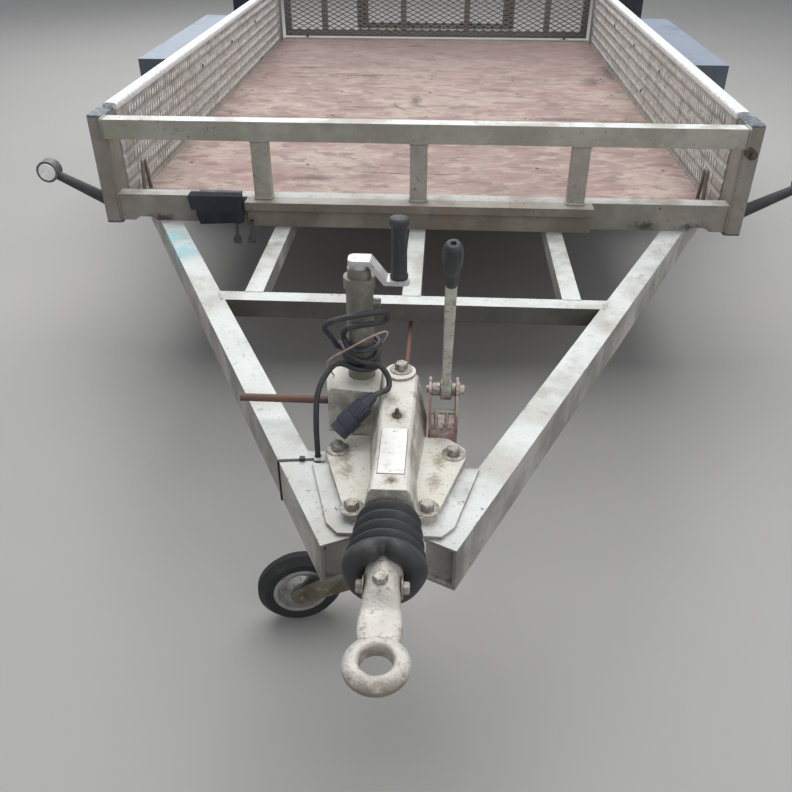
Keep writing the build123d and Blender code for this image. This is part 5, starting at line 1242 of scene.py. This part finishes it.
# Columns: radius and how far the sides of a tread block are drawn in
BLOCK_RINGS = ((GROOVE_RADIUS - 0.002, 0.0), (TREAD_RADIUS - 0.0012, 0.0), (TREAD_RADIUS, 0.0012))
BLOCK_SHARE = 0.80
BLOCK_SKEW = 0.10
RIB_STAGGER = 0.37
WHEEL_BOLTS = 5
BOLT_CIRCLE = 0.056
WHEEL_BOLT_FLATS = 0.019
VALVE = ((0.0035, 0), (0.0035, 0.012), (0.0045, 0.013), (0.0045, 0.026), (0.0025, 0.028))
VALVE_RADIUS = 0.134
for side, word in ((1, "left"), (-1, "right")):
    tyre_low, tyre_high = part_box("tyre_" + word)
    middle = (tyre_low + tyre_high) / 2
    tyre = Shape()
    tyre.turned(carcass, middle, (1, 0, 0), steps=96, closed=True)
    for rib, (low, high) in enumerate(TREAD_RIBS):
        skew = BLOCK_SKEW if rib % 2 else -BLOCK_SKEW
        for block in range(TREAD_BLOCKS):
            start = block + RIB_STAGGER * rib
            rings = []
            for radius, inset in BLOCK_RINGS:
                left, right = low + inset, high - inset
                ring = []
                for x, share in ((left, -skew), (right, skew), (right, BLOCK_SHARE + skew),
                                 (left, BLOCK_SHARE - skew)):
                    turn = 2 * math.pi * (start + share) / TREAD_BLOCKS
                    ring.append(middle + Vector((x, radius * math.cos(turn), radius * math.sin(turn))))
                rings.append(ring)
            tyre.loft(rings)
    piece = tyre.make("road_tyre_" + word, "wheel_" + word, tyre_rubber, smooth=30)
    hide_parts("tyre_" + word)

    nuts = Shape()
    face = middle.x + side * 0.026
    for i in range(WHEEL_BOLTS):
        turn = math.radians(90 + 360 / WHEEL_BOLTS * i)
        spot = (face, middle.y + BOLT_CIRCLE * math.cos(turn), middle.z + BOLT_CIRCLE * math.sin(turn))
        nuts.bolt(spot, (side, 0, 0), WHEEL_BOLT_FLATS, turn=0.4 * i)
    nuts.turned(VALVE, (middle.x + side * 0.024, middle.y, middle.z + VALVE_RADIUS), (side, 0, 0), 12)
    nuts.make("wheel_bolts_" + word, "wheel_" + word, bright)

# Painted shade: the slate paint is darkened to its look in shade
slate = Finish("slate_guard_paint", (0.085, 0.105, 0.135), 0.45, edge=0.002)
slate.spots(0.12, 0.45, 0.65, (0.12, 0.14, 0.17), 0.6, detail=9)
# Painted highlight: faces that look up are lightened in patches
slate.paint(slate.both(slate.upward(), slate.patches(0.20, 0.20, 0.50, detail=8)), (0.26, 0.31, 0.385), 0.85)
slate.spots(0.01, 0.62, 0.7, (0.12, 0.12, 0.12), 0.5)
slate.grain(0.25, 0.4, 0.6, 0.003)
dress(slate, "mudguards")


# Ramp
# A frame of thin galvanised tube faced with expanded steel mesh, hinged on the rear sill, with two
# hanging legs that prop it when it is down.

# Painted shade: the ramp's zinc is made dark, as its front faces lie in shade
shaded_ramp_zinc = galvanised("shaded_ramp_zinc", (0.17, 0.165, 0.155), bloom_and_highlight=0.3, grime=0.6, side=0.3)
dress(shaded_ramp_zinc, "ramp_frame", "ramp_legs", "ramp_hinges")

MESH_PITCH = 0.044
MESH_RISE = 0.011
STRAND = 0.0052
STRAND_THICK = 0.0024
STRAND_TILT = 0.0008
STRAND_OVERLAP = 0.18
MESH_SETBACK = 0.0003
mesh_low, mesh_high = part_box("ramp_mesh")
mesh_face = Shape()
across = int((mesh_high.x - mesh_low.x) / MESH_PITCH * 2)
pitch = (mesh_high.x - mesh_low.x) / across
rows = int((mesh_high.z - mesh_low.z - STRAND) / MESH_RISE)
rise = MESH_RISE / 2 - STRAND * STRAND_OVERLAP
front = mesh_low.y + MESH_SETBACK
back = front + STRAND_THICK
for row in range(rows + 1):
    z = mesh_low.z + STRAND / 2 + row * MESH_RISE
    rings = []
    for i in range(across + 1):
        middle = z + (rise if (i + row) % 2 else -rise)
        middle = min(max(middle, mesh_low.z + STRAND / 2), mesh_high.z - STRAND / 2)
        low, high = middle - STRAND / 2, middle + STRAND / 2
        x = mesh_low.x + i * pitch
        rings.append([(x, front, low), (x, back, low + STRAND_TILT), (x, back, high),
                      (x, front, high - STRAND_TILT)])
    mesh_face.loft(rings)
piece = mesh_face.make("expanded_mesh", "ramp", shaded_ramp_zinc, smooth=0)
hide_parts("ramp_mesh")


# Rear lamps
# Black moulded lamp bodies outside the rear posts. Each has a moulded lens with a red, an amber and
# a clear zone, rounded at its front edges.

dress(plastic, "rear_lamps")
# Columns: zone, where it starts and stops as a share of the height, colour and slot
LENS_ZONES = (
    ("red", 0.0, 0.52, (0.42, 0.015, 0.015), "red_lens"),
    ("amber", 0.535, 0.76, (0.65, 0.20, 0.02), "red_lens"),
    ("clear", 0.775, 1.0, (0.72, 0.72, 0.70), "clear_lens"),
)
LENS_WIDTH = 0.170
# Columns: how far the edge is drawn in and how far it lies from the lens's face
LENS_EDGE = ((0, 0.004), (0.0012, 0.0012), (0.004, 0))
lens_low, lens_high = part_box("rear_lenses")
height = lens_high.z - lens_low.z
lens_rows = [(0, lens_low.y), *((inset, lens_high.y - depth) for inset, depth in LENS_EDGE)]
for zone, start, stop, colour, slot in LENS_ZONES:
    lens_finish = Finish("rear_lens_" + zone, colour, 0.18)
    lens_finish.surface.inputs["Coat Weight"].default_value = 0.5
    lens_finish.paint(lens_finish.crystals(0.006), [c * 0.6 for c in colour], 0.7)
    lens_finish.relief(lens_finish.crystals(0.006), 0.0005)
    lens = Shape()
    for side in (-1, 1):
        left, right = sorted((side * lens_high.x, side * (lens_high.x - LENS_WIDTH)))
        rings = []
        for inset, y in lens_rows:
            low = lens_low.z + start * height + inset
            high = lens_low.z + stop * height - inset
            rings.append([(left + inset, y, low), (right - inset, y, low), (right - inset, y, high),
                          (left + inset, y, high)])
        lens.loft(rings)
    piece = lens.make("rear_lens_" + zone, "trailer", lens_finish)
    if zone == "red":
        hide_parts("rear_lenses")
